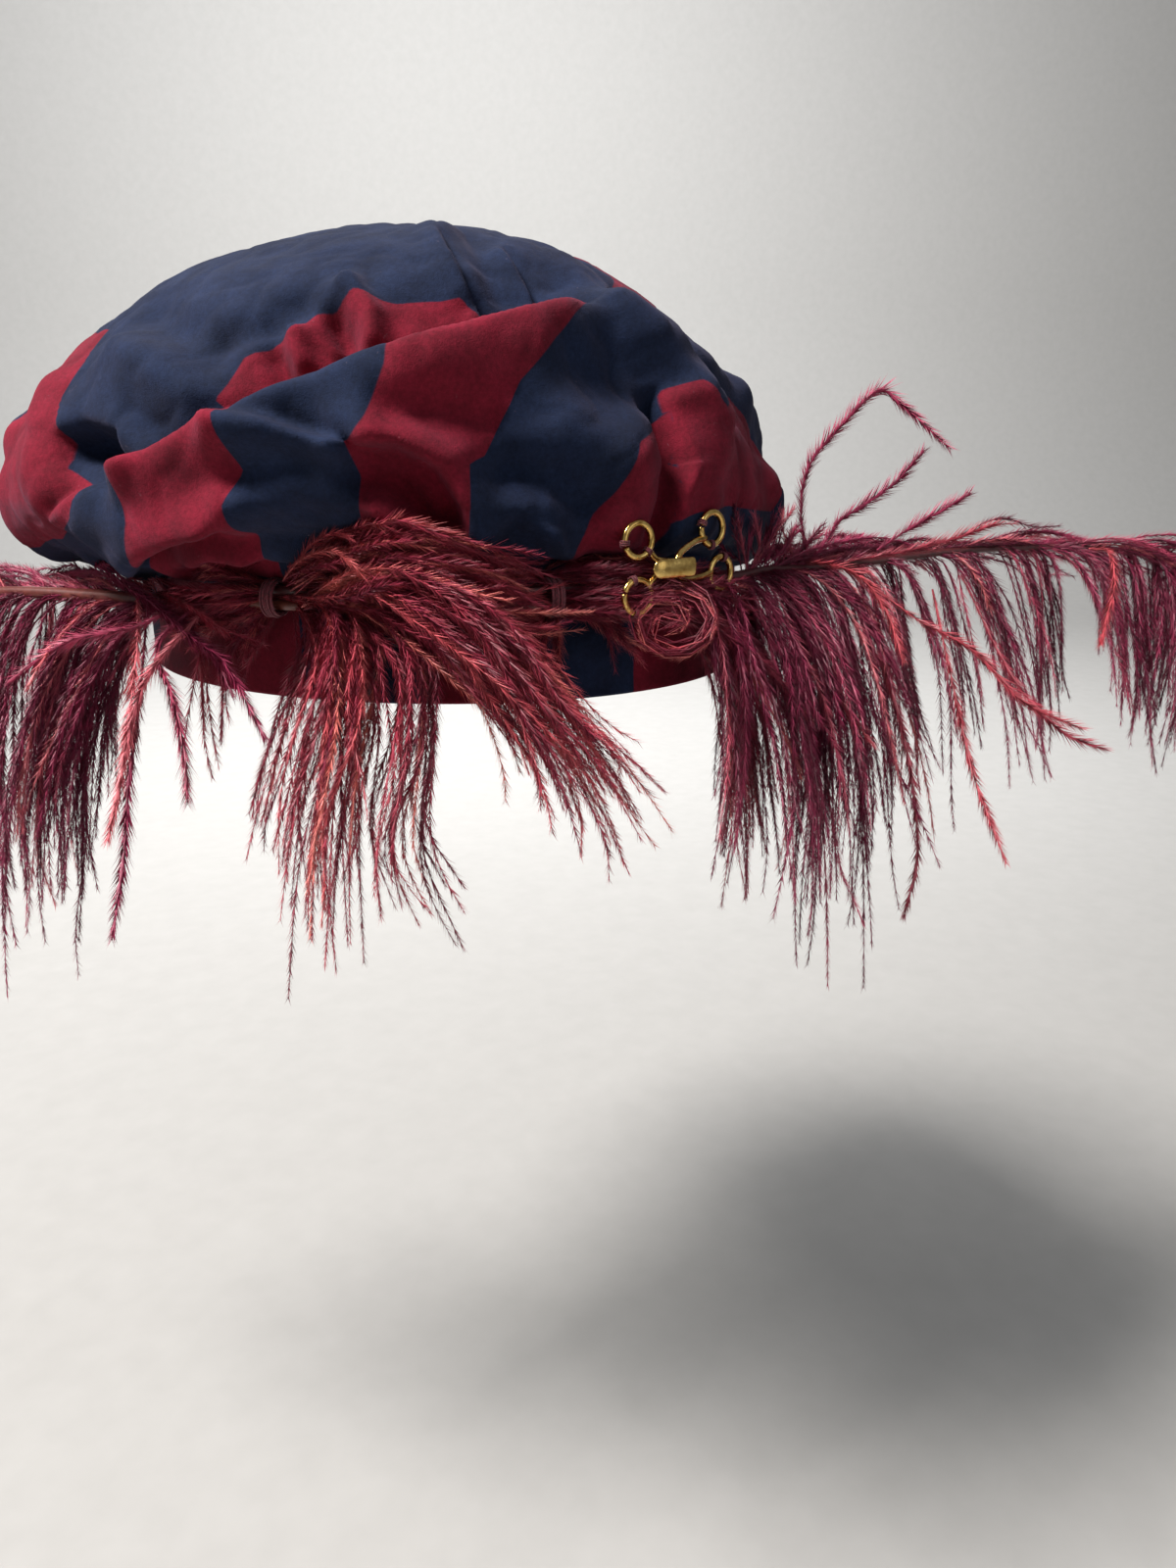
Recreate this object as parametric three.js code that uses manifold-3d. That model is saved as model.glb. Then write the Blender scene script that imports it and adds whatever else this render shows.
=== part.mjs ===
// Feathered beret: a puffed crown of pieced check cloth gathered into a headband, dyed plumes
// bound round the band by two thread ties, and a large wire hook and eye over them.
// Millimetres. The origin is the centre of the head opening in the plane of the band's lower
// edge. +Z goes up along the hat, the wearer faces -Y and the wearer's right side is -X.
// A bearing is in degrees round the hat, 0 at the wearer's front and + to the wearer's left.
import * as THREE from "three";
import { mergeVertices } from "three/addons/utils/BufferGeometryUtils.js";
import Module from "manifold-3d";

const BAND_HALF_WIDTH = 85;
const BAND_HALF_LENGTH = 96;
const BAND_HEIGHT = 29;
const CLOTH = 2;
const PIECE_GAP = 0.3;
const CROWN_POLE = { x: -6, y: 2, z: 123 };
const BELLY_CLIMB = 0.3;
const GATHER_COUNT = 20;
const GATHER_RISE = 1.6;
const WIRE_RADIUS = 0.85;
const RING_RADIUS = 4.1;

// The crown's profile at a bearing. A climb is 0 at the band, BELLY_CLIMB at the widest line
// and 1 at the pole.
const CROWN_SECTIONS = [
  { bearing: -180, reach: 117, bellyHeight: 54, shoulderReach: 87, shoulderHeight: 96 },
  { bearing: -150, reach: 121, bellyHeight: 52, shoulderReach: 88.5, shoulderHeight: 97 },
  { bearing: -120, reach: 122, bellyHeight: 51, shoulderReach: 88.5, shoulderHeight: 97.5 },
  { bearing: -90, reach: 117, bellyHeight: 54, shoulderReach: 87, shoulderHeight: 100.5 },
  { bearing: -50, reach: 112, bellyHeight: 59, shoulderReach: 85, shoulderHeight: 105 },
  { bearing: -20, reach: 107, bellyHeight: 55, shoulderReach: 82, shoulderHeight: 102 },
  { bearing: 10, reach: 105, bellyHeight: 49, shoulderReach: 80, shoulderHeight: 97 },
  { bearing: 40, reach: 105, bellyHeight: 47, shoulderReach: 79, shoulderHeight: 93 },
  { bearing: 75, reach: 106, bellyHeight: 50, shoulderReach: 81, shoulderHeight: 92 },
  { bearing: 110, reach: 109, bellyHeight: 53, shoulderReach: 83, shoulderHeight: 93 },
  { bearing: 145, reach: 113, bellyHeight: 55, shoulderReach: 86, shoulderHeight: 95 },
];

// Rolls (+) and creases (-) in the crown: the line they follow, rise and half width in mm.
const FOLDS = [
  { run: [[-20, 0.6], [-38, 0.52], [-54, 0.44], [-72, 0.4], [-88, 0.33], [-99, 0.26]], rise: 6, half: 9 },
  { run: [[-24, 0.65], [-40, 0.585], [-54, 0.52], [-70, 0.47], [-86, 0.405], [-97, 0.34]], rise: -5, half: 8 },
  { run: [[-16, 0.63], [-12, 0.57], [-6, 0.51], [0, 0.43]], rise: 6, half: 7 },
  { run: [[-23, 0.53], [-18, 0.48], [-15, 0.43]], rise: -4, half: 8 },
  { run: [[-16, 0.44], [-14.5, 0.36], [-16, 0.26], [-18, 0.14]], rise: -7, half: 7 },
  { run: [[-8, 0.46], [-7, 0.37], [-9, 0.26], [-10, 0.18]], rise: 4, half: 7 },
  { run: [[-22, 0.4], [-24, 0.28], [-26, 0.2]], rise: 3, half: 7 },
  { run: [[-60, 0.34], [-53, 0.32], [-47.5, 0.28], [-46, 0.2]], rise: 5, half: 5.5 },
  { run: [[-59, 0.28], [-53, 0.255], [-51.5, 0.19]], rise: -4.5, half: 5 },
  { run: [[-76, 0.375], [-66, 0.37], [-60, 0.335]], rise: 4, half: 5.5 },
  { run: [[-73, 0.32], [-66, 0.325], [-60, 0.3]], rise: -4, half: 5 },
  { run: [[-73, 0.26], [-66, 0.29], [-59, 0.27]], rise: 3.5, half: 5.5 },
  { run: [[-72, 0.2], [-66, 0.16]], rise: -4, half: 6 },
  { run: [[-98, 0.14], [-90, 0.19], [-82, 0.22], [-75, 0.235]], rise: 5, half: 5.5 },
  { run: [[-95, 0.11], [-86, 0.15], [-76, 0.16]], rise: -5, half: 5 },
  { run: [[-100, 0.44], [-95, 0.38], [-91, 0.31]], rise: -7, half: 7 },
  { run: [[-94, 0.54], [-87, 0.51], [-81, 0.46]], rise: 4, half: 6 },
  { run: [[-97, 0.63], [-86, 0.57], [-79, 0.52]], rise: -4, half: 6 },
  { run: [[-111, 0.5], [-107, 0.41], [-105, 0.3]], rise: 3, half: 7 },
  { run: [[-43, 0.84], [-44, 0.7], [-43, 0.6]], rise: 3, half: 6 },
  { run: [[-38, 0.8], [-38, 0.7], [-37, 0.6]], rise: -3, half: 6 },
  { run: [[-30, 0.76], [-31, 0.66], [-31, 0.58]], rise: 3, half: 6 },
  { run: [[-59, 0.6], [-57, 0.53]], rise: 3, half: 6 },
  { run: [[-30, 0.49], [-24, 0.44]], rise: -3, half: 7 },
  { run: [[-33, 0.37], [-27, 0.34]], rise: 3, half: 9 },
  { run: [[-41, 0.3], [-35, 0.295], [-31, 0.25]], rise: -4, half: 5 },
  { run: [[-41, 0.25], [-37, 0.235], [-33, 0.17]], rise: 3.5, half: 5 },
  { run: [[-56, 0.4], [-50, 0.41]], rise: 3, half: 8 },
  { run: [[-12, 0.56], [0, 0.56], [12, 0.55]], rise: 3, half: 6 },
  { run: [[-88, 0.08], [-60, 0.09], [-34, 0.09], [-10, 0.09], [6, 0.08]], rise: -5.5, half: 8 },
  { run: [[20, 0.53], [42, 0.44], [62, 0.35]], rise: 5, half: 8 },
  { run: [[30, 0.61], [52, 0.51], [70, 0.44]], rise: -4, half: 7 },
  { run: [[20, 0.36], [24, 0.18]], rise: 4, half: 7 },
  { run: [[50, 0.28], [47, 0.14]], rise: -4, half: 7 },
  { run: [[68, 0.3], [76, 0.16]], rise: 4, half: 7 },
  { run: [[86, 0.55], [108, 0.46], [130, 0.43]], rise: 5, half: 8 },
  { run: [[92, 0.64], [114, 0.54]], rise: -4, half: 7 },
  { run: [[98, 0.3], [106, 0.16]], rise: -4, half: 7 },
  { run: [[122, 0.3], [118, 0.15]], rise: 4, half: 7 },
  { run: [[140, 0.6], [160, 0.5], [178, 0.45]], rise: 5, half: 8 },
  { run: [[150, 0.42], [170, 0.35]], rise: -4, half: 7 },
  { run: [[148, 0.28], [146, 0.14]], rise: 4, half: 7 },
  { run: [[174, 0.28], [178, 0.14]], rise: -4, half: 7 },
  { run: [[-166, 0.56], [-150, 0.46], [-130, 0.43]], rise: 5, half: 8 },
  { run: [[-150, 0.33], [-146, 0.16]], rise: -4, half: 7 },
  { run: [[-126, 0.3], [-122, 0.16]], rise: 4, half: 7 },
];

// Bearings of the crown's columns: close together on the side with the main folds.
const FINE_SIDE = { from: -126, to: 24, step: 3.75 };
const COARSE_STEP = 6.5;
const CROWN_CLIMBS = [
  0, 0.04, 0.085, 0.13, 0.17, 0.21, 0.25, 0.29, 0.33, 0.37, 0.41, 0.45, 0.49, 0.53, 0.575, 0.63,
  0.69, 0.76, 0.83, 0.92,
];

// Centre lines of the quills, root first, with the quill's radius there.
const RIGHT_QUILL = [
  { at: [-66.3, -79.8, 30.2], radius: 1.2 },
  { at: [-52.2, -89, 30.2], radius: 1.3 },
  { at: [-36, -97.5, 29.6], radius: 1.5 },
  { at: [-12, -106, 29.6], radius: 1.5 },
  { at: [12, -108.5, 30], radius: 1.4 },
  { at: [43, -116, 29], radius: 1.3 },
  { at: [87, -144, 32], radius: 1.1 },
  { at: [138, -176, 30], radius: 0.9 },
  { at: [172, -197, 23], radius: 0.8 },
  { at: [204, -216, 8], radius: 0.7 },
  { at: [226, -228, -14], radius: 0.6 },
];
const LEFT_QUILL = [
  { at: [-89.8, -29.6, 25.7], radius: 1.2 },
  { at: [-93.2, -16, 25.7], radius: 1.4 },
  { at: [-94.6, 2, 24.8], radius: 2 },
  { at: [-95, 19, 23.8], radius: 2.3 },
  { at: [-98, 40, 24], radius: 2.2 },
  { at: [-106, 73, 24], radius: 1.6 },
  { at: [-118, 115, 20], radius: 1.2 },
  { at: [-131, 150, 9], radius: 0.9 },
  { at: [-143, 180, -10], radius: 0.6 },
];
const FRONT_QUILL = [
  { at: [-93.2, -16, 29.3], radius: 1.3 },
  { at: [-89.8, -29.6, 29.3], radius: 1.4 },
  { at: [-89, -43, 28.4], radius: 1.4 },
  { at: [-83.5, -59.5, 27.4], radius: 1.4 },
  { at: [-74.5, -72.5, 27], radius: 1.3 },
  { at: [-59.3, -84.7, 26.8], radius: 1.2 },
  { at: [-45, -93, 25.6], radius: 1.1 },
  { at: [-28, -101, 23], radius: 1 },
];

// Locks of barbs: where they leave the quill (0 root, 1 tip), length, how far they go along
// the quill, away from the hat and up before they fall, all as shares of the length.
const RIGHT_LOCKS = [
  { share: 0.398, length: 106, along: 0.06, away: 0.04, lift: 0.03, drop: 0.97, width: 9.5 },
  { share: 0.433, length: 120, along: 0.1, away: 0.2, lift: 0.04, drop: 0.98, width: 10 },
  { share: 0.481, length: 114, along: 0.14, away: 0.04, lift: 0.04, drop: 0.97, width: 10.5 },
  { share: 0.519, length: 120, along: 0.18, away: 0.2, lift: 0.05, drop: 0.96, width: 11 },
  { share: 0.557, length: 104, along: 0.22, away: 0.04, lift: 0.05, drop: 0.95, width: 12 },
  { share: 0.603, length: 108, along: 0.25, away: 0.19, lift: 0.05, drop: 0.93, width: 11 },
  { share: 0.641, length: 94, along: 0.28, away: 0.04, lift: 0.05, drop: 0.92, width: 11 },
  { share: 0.691, length: 98, along: 0.31, away: 0.18, lift: 0.05, drop: 0.9, width: 11.5 },
  { share: 0.733, length: 88, along: 0.34, away: 0.04, lift: 0.05, drop: 0.88, width: 11.5 },
  { share: 0.771, length: 88, along: 0.36, away: 0.17, lift: 0.05, drop: 0.87, width: 11 },
  { share: 0.819, length: 76, along: 0.38, away: 0.04, lift: 0.05, drop: 0.86, width: 11 },
  { share: 0.868, length: 74, along: 0.4, away: 0.15, lift: 0.04, drop: 0.86, width: 9.5 },
  { share: 0.92, length: 58, along: 0.42, away: 0.04, lift: 0.04, drop: 0.85, width: 8.5 },
  { share: 0.454, length: 62, along: 0.5, away: 0.25, lift: 1.3, drop: -0.55, width: 7 },
  { share: 0.492, length: 56, along: 0.8, away: 0.2, lift: 0.9, drop: -0.3, width: 9 },
  { share: 0.545, length: 60, along: 0.9, away: -0.15, lift: 0.7, drop: 0, width: 7.5 },
  { share: 0.629, length: 64, along: 0.92, away: 0.2, lift: 0.52, drop: 0.14, width: 9 },
  { share: 0.71, length: 60, along: 0.92, away: -0.1, lift: 0.46, drop: 0.24, width: 9.5 },
];
const LEFT_LOCKS = [
  { share: 0.28, length: 94, along: 0.08, away: 0.04, lift: 0.04, drop: 0.96, width: 11 },
  { share: 0.329, length: 108, along: 0.13, away: 0.2, lift: 0.05, drop: 0.96, width: 11.5 },
  { share: 0.384, length: 104, along: 0.17, away: 0.05, lift: 0.05, drop: 0.95, width: 12 },
  { share: 0.439, length: 112, along: 0.2, away: 0.2, lift: 0.05, drop: 0.94, width: 11.5 },
  { share: 0.502, length: 100, along: 0.23, away: 0.05, lift: 0.05, drop: 0.93, width: 11 },
  { share: 0.551, length: 104, along: 0.26, away: 0.19, lift: 0.05, drop: 0.92, width: 11.5 },
  { share: 0.612, length: 90, along: 0.29, away: 0.05, lift: 0.05, drop: 0.9, width: 12 },
  { share: 0.671, length: 92, along: 0.32, away: 0.18, lift: 0.05, drop: 0.89, width: 11 },
  { share: 0.722, length: 80, along: 0.35, away: 0.05, lift: 0.05, drop: 0.88, width: 10.5 },
  { share: 0.782, length: 80, along: 0.37, away: 0.16, lift: 0.04, drop: 0.87, width: 11 },
  { share: 0.834, length: 66, along: 0.4, away: 0.04, lift: 0.04, drop: 0.86, width: 10 },
  { share: 0.912, length: 60, along: 0.42, away: 0.13, lift: 0.03, drop: 0.84, width: 9 },
  { share: 0.36, length: 52, along: 0.86, away: 0.42, lift: 0.5, drop: 0.1, width: 8 },
  { share: 0.462, length: 54, along: 0.9, away: 0.34, lift: 0.5, drop: 0.2, width: 9 },
  { share: 0.656, length: 54, along: 0.9, away: -0.1, lift: 0.44, drop: 0.3, width: 9 },
];
const FRONT_LOCKS = [
  { share: 0.162, length: 60, along: 0.06, away: 0.16, lift: 0.4, drop: 0.8, width: 7 },
  { share: 0.231, length: 90, along: 0.08, away: 0.24, lift: 0.8, drop: 0.95, width: 8 },
  { share: 0.288, length: 104, along: 0.1, away: 0.2, lift: 1.1, drop: 0.97, width: 9 },
  { share: 0.329, length: 98, along: 0.12, away: 0.34, lift: 1.3, drop: 0.96, width: 9 },
  { share: 0.39, length: 110, along: 0.15, away: 0.24, lift: 1.25, drop: 0.96, width: 9 },
  { share: 0.445, length: 98, along: 0.18, away: 0.36, lift: 1.2, drop: 0.95, width: 9 },
  { share: 0.506, length: 108, along: 0.2, away: 0.24, lift: 1.1, drop: 0.94, width: 8.5 },
  { share: 0.557, length: 94, along: 0.22, away: 0.34, lift: 1, drop: 0.93, width: 9 },
  { share: 0.614, length: 98, along: 0.24, away: 0.22, lift: 0.8, drop: 0.92, width: 9 },
  { share: 0.665, length: 84, along: 0.26, away: 0.4, lift: 0.6, drop: 0.9, width: 8.5 },
  { share: 0.834, length: 76, along: 0.2, away: 0.12, lift: 0.06, drop: 0.9, width: 8 },
  { share: 0.89, length: 80, along: 0.2, away: 0.24, lift: 0.05, drop: 0.92, width: 8 },
  { share: 0.953, length: 74, along: 0.2, away: 0.12, lift: 0.03, drop: 0.94, width: 8.5 },
];
const LOCK_STATIONS = [
  { share: 0, width: 0.25 },
  { share: 0.25, width: 0.85 },
  { share: 0.52, width: 1 },
  { share: 0.78, width: 0.7 },
];
const LOCK_THICKNESS = 2.2;

const TIES = [
  { name: "tie_side", at: [-91.5, -22.8, 27.5], bearing: -76, inner: 3.6, outer: 4.8 },
  { name: "tie_front", at: [-59.3, -84.7, 28.5], bearing: -34.5, inner: 3.5, outer: 4.6 },
];
const TIE_LENGTH = 4;

// The clasp's two wire pieces: the point between each pair of sewing rings, the bearing that
// the pair faces and the piece's turn about that direction.
const HOOK = { at: [-45.8, -100.6, 35.1], facing: -22, roll: 0, ringRise: 6.8 };
const EYE = { at: [-19.3, -108.3, 37.8], facing: -14, roll: 18, ringRise: 6 };

// Half of the hook's wire, from a sewing ring to the end of the fold, and the eye's loop.
const HOOK_WIRE = [
  [3.2, 4.4, 0],
  [5.6, 2, 0],
  [12.4, 1.1, 0],
  [14.6, 1.1, 1.2],
  [14.6, 1.1, 3.2],
  [12.4, 1.1, 4.3],
];
const EYE_WIRE = [
  [-3.2, 4.6, 0],
  [-9, 5.8, 1.2],
  [-16.2, 5, 2.4],
  [-17.8, 2.5, 2.6],
  [-17, 0, 2.5],
  [-9, -3.4, 1.2],
  [-3.2, -4.4, 0],
];

const CLOTH_LOOK = { color: 0x24304f, roughness: 0.9 };
const CROWN_LOOK = { color: 0x7a2338, roughness: 0.9 };
const PLUME_LOOK = { color: 0x8c2b40, roughness: 0.7 };
const THREAD_LOOK = { color: 0x5c1626, roughness: 0.8 };
const METAL_LOOK = { color: 0xd0a24a, roughness: 0.25, metalness: 1 };

const wasm = await Module();
wasm.setup();

function radians(degrees) {
  return (degrees * Math.PI) / 180;
}

function outward(bearing) {
  const angle = radians(bearing);
  return new THREE.Vector3(Math.sin(angle), -Math.cos(angle), 0);
}

function sideways(bearing) {
  const angle = radians(bearing);
  return new THREE.Vector3(Math.cos(angle), Math.sin(angle), 0);
}

function bandReach(bearing) {
  const angle = radians(bearing);
  return 1 / Math.hypot(Math.sin(angle) / BAND_HALF_WIDTH, Math.cos(angle) / BAND_HALF_LENGTH);
}

function sectionAt(index) {
  const count = CROWN_SECTIONS.length;
  const turns = Math.floor(index / count);
  const row = CROWN_SECTIONS[index - turns * count];
  return { row, bearing: row.bearing + 360 * turns };
}

// A value of the crown's table at any bearing, by a smooth curve through the rows.
function crownValue(bearing, column) {
  const wrapped = ((((bearing + 180) % 360) + 360) % 360) - 180;
  let index = 0;
  while (sectionAt(index + 1).bearing <= wrapped) {
    index += 1;
  }
  const around = [-1, 0, 1, 2].map((step) => sectionAt(index + step));
  const [before, start, end, after] = around.map((entry) => entry.row[column]);
  const [beforeAt, startAt, endAt, afterAt] = around.map((entry) => entry.bearing);
  const span = endAt - startAt;
  const t = (wrapped - startAt) / span;
  const startSlope = ((end - before) / (endAt - beforeAt)) * span;
  const endSlope = ((after - start) / (afterAt - startAt)) * span;
  const cubic = 2 * t ** 3 - 3 * t ** 2 + 1;
  return (
    cubic * start +
    (t ** 3 - 2 * t ** 2 + t) * startSlope +
    (1 - cubic) * end +
    (t ** 3 - t ** 2) * endSlope
  );
}

// The crown's smooth outer face before its folds.
function crownBase(bearing, climb) {
  const foot = BAND_HEIGHT + PIECE_GAP;
  const reach = crownValue(bearing, "reach");
  const belly = crownValue(bearing, "bellyHeight");
  let radius;
  let height;
  if (climb < BELLY_CLIMB) {
    const turn = ((climb / BELLY_CLIMB) * Math.PI) / 2;
    const rim = bandReach(bearing);
    radius = rim + (reach - rim) * Math.sin(turn);
    height = foot + (belly - foot) * (1 - Math.cos(turn));
  } else {
    const turn = (((climb - BELLY_CLIMB) / (1 - BELLY_CLIMB)) * Math.PI) / 2;
    const shoulderReach = crownValue(bearing, "shoulderReach");
    const shoulderHeight = crownValue(bearing, "shoulderHeight");
    const half = Math.log(Math.SQRT1_2);
    const inwardPower = Math.log(shoulderReach / reach) / half;
    const upwardPower = Math.log((shoulderHeight - belly) / (CROWN_POLE.z - belly)) / half;
    radius = reach * Math.max(Math.cos(turn), 0) ** inwardPower;
    height = belly + (CROWN_POLE.z - belly) * Math.sin(turn) ** upwardPower;
  }
  const lean = climb ** 1.5;
  const point = outward(bearing).multiplyScalar(radius);
  return point.add(new THREE.Vector3(CROWN_POLE.x * lean, CROWN_POLE.y * lean, height));
}

function crownNormal(bearing, climb) {
  const step = 0.004;
  const low = Math.max(climb - step, 0);
  const high = Math.min(climb + step, 0.995);
  const round = crownBase(bearing + 0.4, climb).sub(crownBase(bearing - 0.4, climb));
  const rise = crownBase(bearing, high).sub(crownBase(bearing, low));
  return round.cross(rise).normalize();
}

const foldLines = FOLDS.map((fold) => ({
  rise: fold.rise,
  half: fold.half,
  points: fold.run.map(([bearing, climb]) => crownBase(bearing, climb)),
}));

function distanceToLine(point, points) {
  const nearest = new THREE.Vector3();
  const piece = new THREE.Line3();
  let least = Infinity;
  for (let i = 1; i < points.length; i += 1) {
    piece.set(points[i - 1], points[i]);
    piece.closestPointToPoint(point, true, nearest);
    least = Math.min(least, nearest.distanceTo(point));
  }
  return least;
}

// How far the cloth stands out of the smooth face: folds, and gathers close to the band.
function clothRise(point, bearing, climb) {
  let rise = 0;
  for (const fold of foldLines) {
    const away = distanceToLine(point, fold.points) / fold.half;
    rise += fold.rise * Math.exp(-away * away);
  }
  const gather = Math.cos(radians(GATHER_COUNT * bearing)) * Math.max(1 - climb / 0.25, 0);
  const held = Math.min(climb / 0.08, 1) * Math.min((1 - climb) / 0.1, 1);
  return (rise + GATHER_RISE * gather) * held;
}

function crownBearings() {
  const bearings = [];
  for (let bearing = FINE_SIDE.from; bearing < FINE_SIDE.to; bearing += FINE_SIDE.step) {
    bearings.push(bearing);
  }
  const rest = 360 - (FINE_SIDE.to - FINE_SIDE.from);
  const count = Math.round(rest / COARSE_STEP);
  for (let i = 0; i < count; i += 1) {
    bearings.push(FINE_SIDE.to + (rest * i) / count);
  }
  return bearings;
}

// Rings of points joined into one closed body. A first or last ring of one point is a tip.
function bodyFromRings(rings) {
  const positions = [];
  const starts = [];
  for (const ring of rings) {
    starts.push(positions.length / 3);
    ring.forEach((point) => positions.push(point.x, point.y, point.z));
  }
  const indices = [];
  for (let r = 1; r < rings.length; r += 1) {
    const low = rings[r - 1].length;
    const high = rings[r].length;
    const count = Math.max(low, high);
    for (let i = 0; i < count; i += 1) {
      const a = starts[r - 1] + (i % low);
      const b = starts[r - 1] + ((i + 1) % low);
      const c = starts[r] + ((i + 1) % high);
      const d = starts[r] + (i % high);
      if (low > 1) {
        indices.push(a, b, c);
      }
      if (high > 1) {
        indices.push(a, c, d);
      }
    }
  }
  const last = rings.length - 1;
  for (let i = 1; i + 1 < rings[0].length; i += 1) {
    indices.push(starts[0], starts[0] + i + 1, starts[0] + i);
  }
  for (let i = 1; i + 1 < rings[last].length; i += 1) {
    indices.push(starts[last], starts[last] + i, starts[last] + i + 1);
  }
  const geometry = new THREE.BufferGeometry();
  geometry.setAttribute("position", new THREE.Float32BufferAttribute(positions, 3));
  geometry.setIndex(indices);
  geometry.computeVertexNormals();
  return geometry;
}

function makeCrown() {
  const bearings = crownBearings();
  const outer = [];
  const inner = [];
  for (const climb of CROWN_CLIMBS) {
    const outerRing = [];
    const innerRing = [];
    for (const bearing of bearings) {
      const base = crownBase(bearing, climb);
      const normal = crownNormal(bearing, climb);
      const rise = clothRise(base, bearing, climb);
      outerRing.push(base.clone().addScaledVector(normal, rise));
      innerRing.push(base.clone().addScaledVector(normal, rise - CLOTH));
    }
    outer.push(outerRing);
    inner.push(innerRing);
  }
  const edge = [PIECE_GAP, PIECE_GAP + CLOTH].map((lift) =>
    bearings.map((bearing) => {
      const point = outward(bearing).multiplyScalar(bandReach(bearing) - CLOTH);
      return point.setZ(BAND_HEIGHT + lift);
    }),
  );
  const pole = crownBase(0, 1);
  const underPole = pole.clone().setZ(pole.z - CLOTH);
  return bodyFromRings([[underPole], ...inner.slice(1).reverse(), edge[1], edge[0], ...outer, [pole]]);
}

function makeHeadband() {
  const outline = new THREE.Shape();
  outline.absellipse(0, 0, BAND_HALF_WIDTH, BAND_HALF_LENGTH, 0, Math.PI * 2);
  const opening = new THREE.Path();
  const halfWidth = BAND_HALF_WIDTH - CLOTH;
  const halfLength = BAND_HALF_LENGTH - CLOTH;
  opening.absellipse(0, 0, halfWidth, halfLength, 0, Math.PI * 2);
  outline.holes.push(opening);
  const settings = { depth: BAND_HEIGHT, bevelEnabled: false, curveSegments: 36 };
  return new THREE.ExtrudeGeometry(outline, settings);
}

// A point, direction and radius on a quill at a share of its way from root to tip.
function quillPath(rows) {
  const curve = new THREE.CatmullRomCurve3(rows.map((row) => new THREE.Vector3(...row.at)));
  return (share) => {
    const place = share * (rows.length - 1);
    const index = Math.min(Math.floor(place), rows.length - 2);
    const mix = place - index;
    return {
      point: curve.getPoint(share),
      along: curve.getTangent(share),
      radius: rows[index].radius * (1 - mix) + rows[index + 1].radius * mix,
    };
  };
}

function ringAround(point, along, wide, halfWidth, halfThickness, sides) {
  const thick = new THREE.Vector3().crossVectors(along, wide).normalize();
  const across = new THREE.Vector3().crossVectors(thick, along).normalize();
  const ring = [];
  for (let i = 0; i < sides; i += 1) {
    const angle = (2 * Math.PI * i) / sides;
    const place = point.clone().addScaledVector(across, halfWidth * Math.cos(angle));
    ring.push(place.addScaledVector(thick, halfThickness * Math.sin(angle)));
  }
  return ring;
}

function quillGeometry(path, steps) {
  const up = new THREE.Vector3(0.23, 0.11, 1);
  const rings = [];
  for (let i = 0; i <= steps; i += 1) {
    const { point, along, radius } = path(i / steps);
    rings.push(ringAround(point, along, up, radius, radius, 6));
  }
  return bodyFromRings(rings);
}

function lockGeometry(path, lock) {
  const { point, along } = path(lock.share);
  const level = along.clone().setZ(0).normalize();
  const away = new THREE.Vector3(level.y, -level.x, 0);
  if (away.dot(point.clone().setZ(0)) < 0) {
    away.negate();
  }
  const place = (share) => {
    const fall = lock.lift * share - (lock.lift + lock.drop) * share ** 1.7;
    const spot = point.clone().addScaledVector(level, lock.length * lock.along * share);
    spot.addScaledVector(away, lock.length * lock.away * Math.sin((share * Math.PI) / 2));
    return spot.setZ(point.z + lock.length * fall);
  };
  const rings = LOCK_STATIONS.map((station) => {
    const ahead = place(station.share + 0.02).sub(place(Math.max(station.share - 0.02, 0)));
    const wide = level.clone().addScaledVector(away, 0.36);
    const halfWidth = (lock.width * station.width) / 1.5;
    return ringAround(place(station.share), ahead.normalize(), wide, halfWidth, LOCK_THICKNESS / 2, 3);
  });
  rings.push([place(1)]);
  return bodyFromRings(rings);
}

function toManifold(geometry) {
  const bare = geometry.clone();
  bare.deleteAttribute("normal");
  bare.deleteAttribute("uv");
  const merged = mergeVertices(bare, 1e-4);
  const mesh = new wasm.Mesh({
    numProp: 3,
    vertProperties: new Float32Array(merged.attributes.position.array),
    triVerts: new Uint32Array(merged.index.array),
  });
  return new wasm.Manifold(mesh);
}

// Joins closed bodies into one. Slivers of air shut in between two strips are filled.
function fuse(geometries) {
  const bodies = wasm.Manifold.union(geometries.map(toManifold)).decompose();
  const whole = bodies.reduce((most, body) => (body.volume() > most.volume() ? body : most));
  const mesh = whole.getMesh();
  const geometry = new THREE.BufferGeometry();
  geometry.setAttribute("position", new THREE.Float32BufferAttribute(mesh.vertProperties, 3));
  geometry.setIndex(Array.from(mesh.triVerts));
  geometry.computeVertexNormals();
  return geometry;
}

function makePlume(rows, locks) {
  const path = quillPath(rows);
  const parts = locks.map((lock) => lockGeometry(path, lock));
  return fuse([quillGeometry(path, 2 * (rows.length - 1)), ...parts]);
}

function makeTie(tie) {
  const outline = new THREE.Shape();
  outline.absarc(0, 0, tie.outer, 0, Math.PI * 2);
  const opening = new THREE.Path();
  opening.absarc(0, 0, tie.inner, 0, Math.PI * 2);
  outline.holes.push(opening);
  const settings = { depth: TIE_LENGTH, bevelEnabled: false, curveSegments: 8 };
  const geometry = new THREE.ExtrudeGeometry(outline, settings);
  geometry.translate(0, 0, -TIE_LENGTH / 2);
  return placeOn(geometry, sideways(tie.bearing), tie.at);
}

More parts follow.
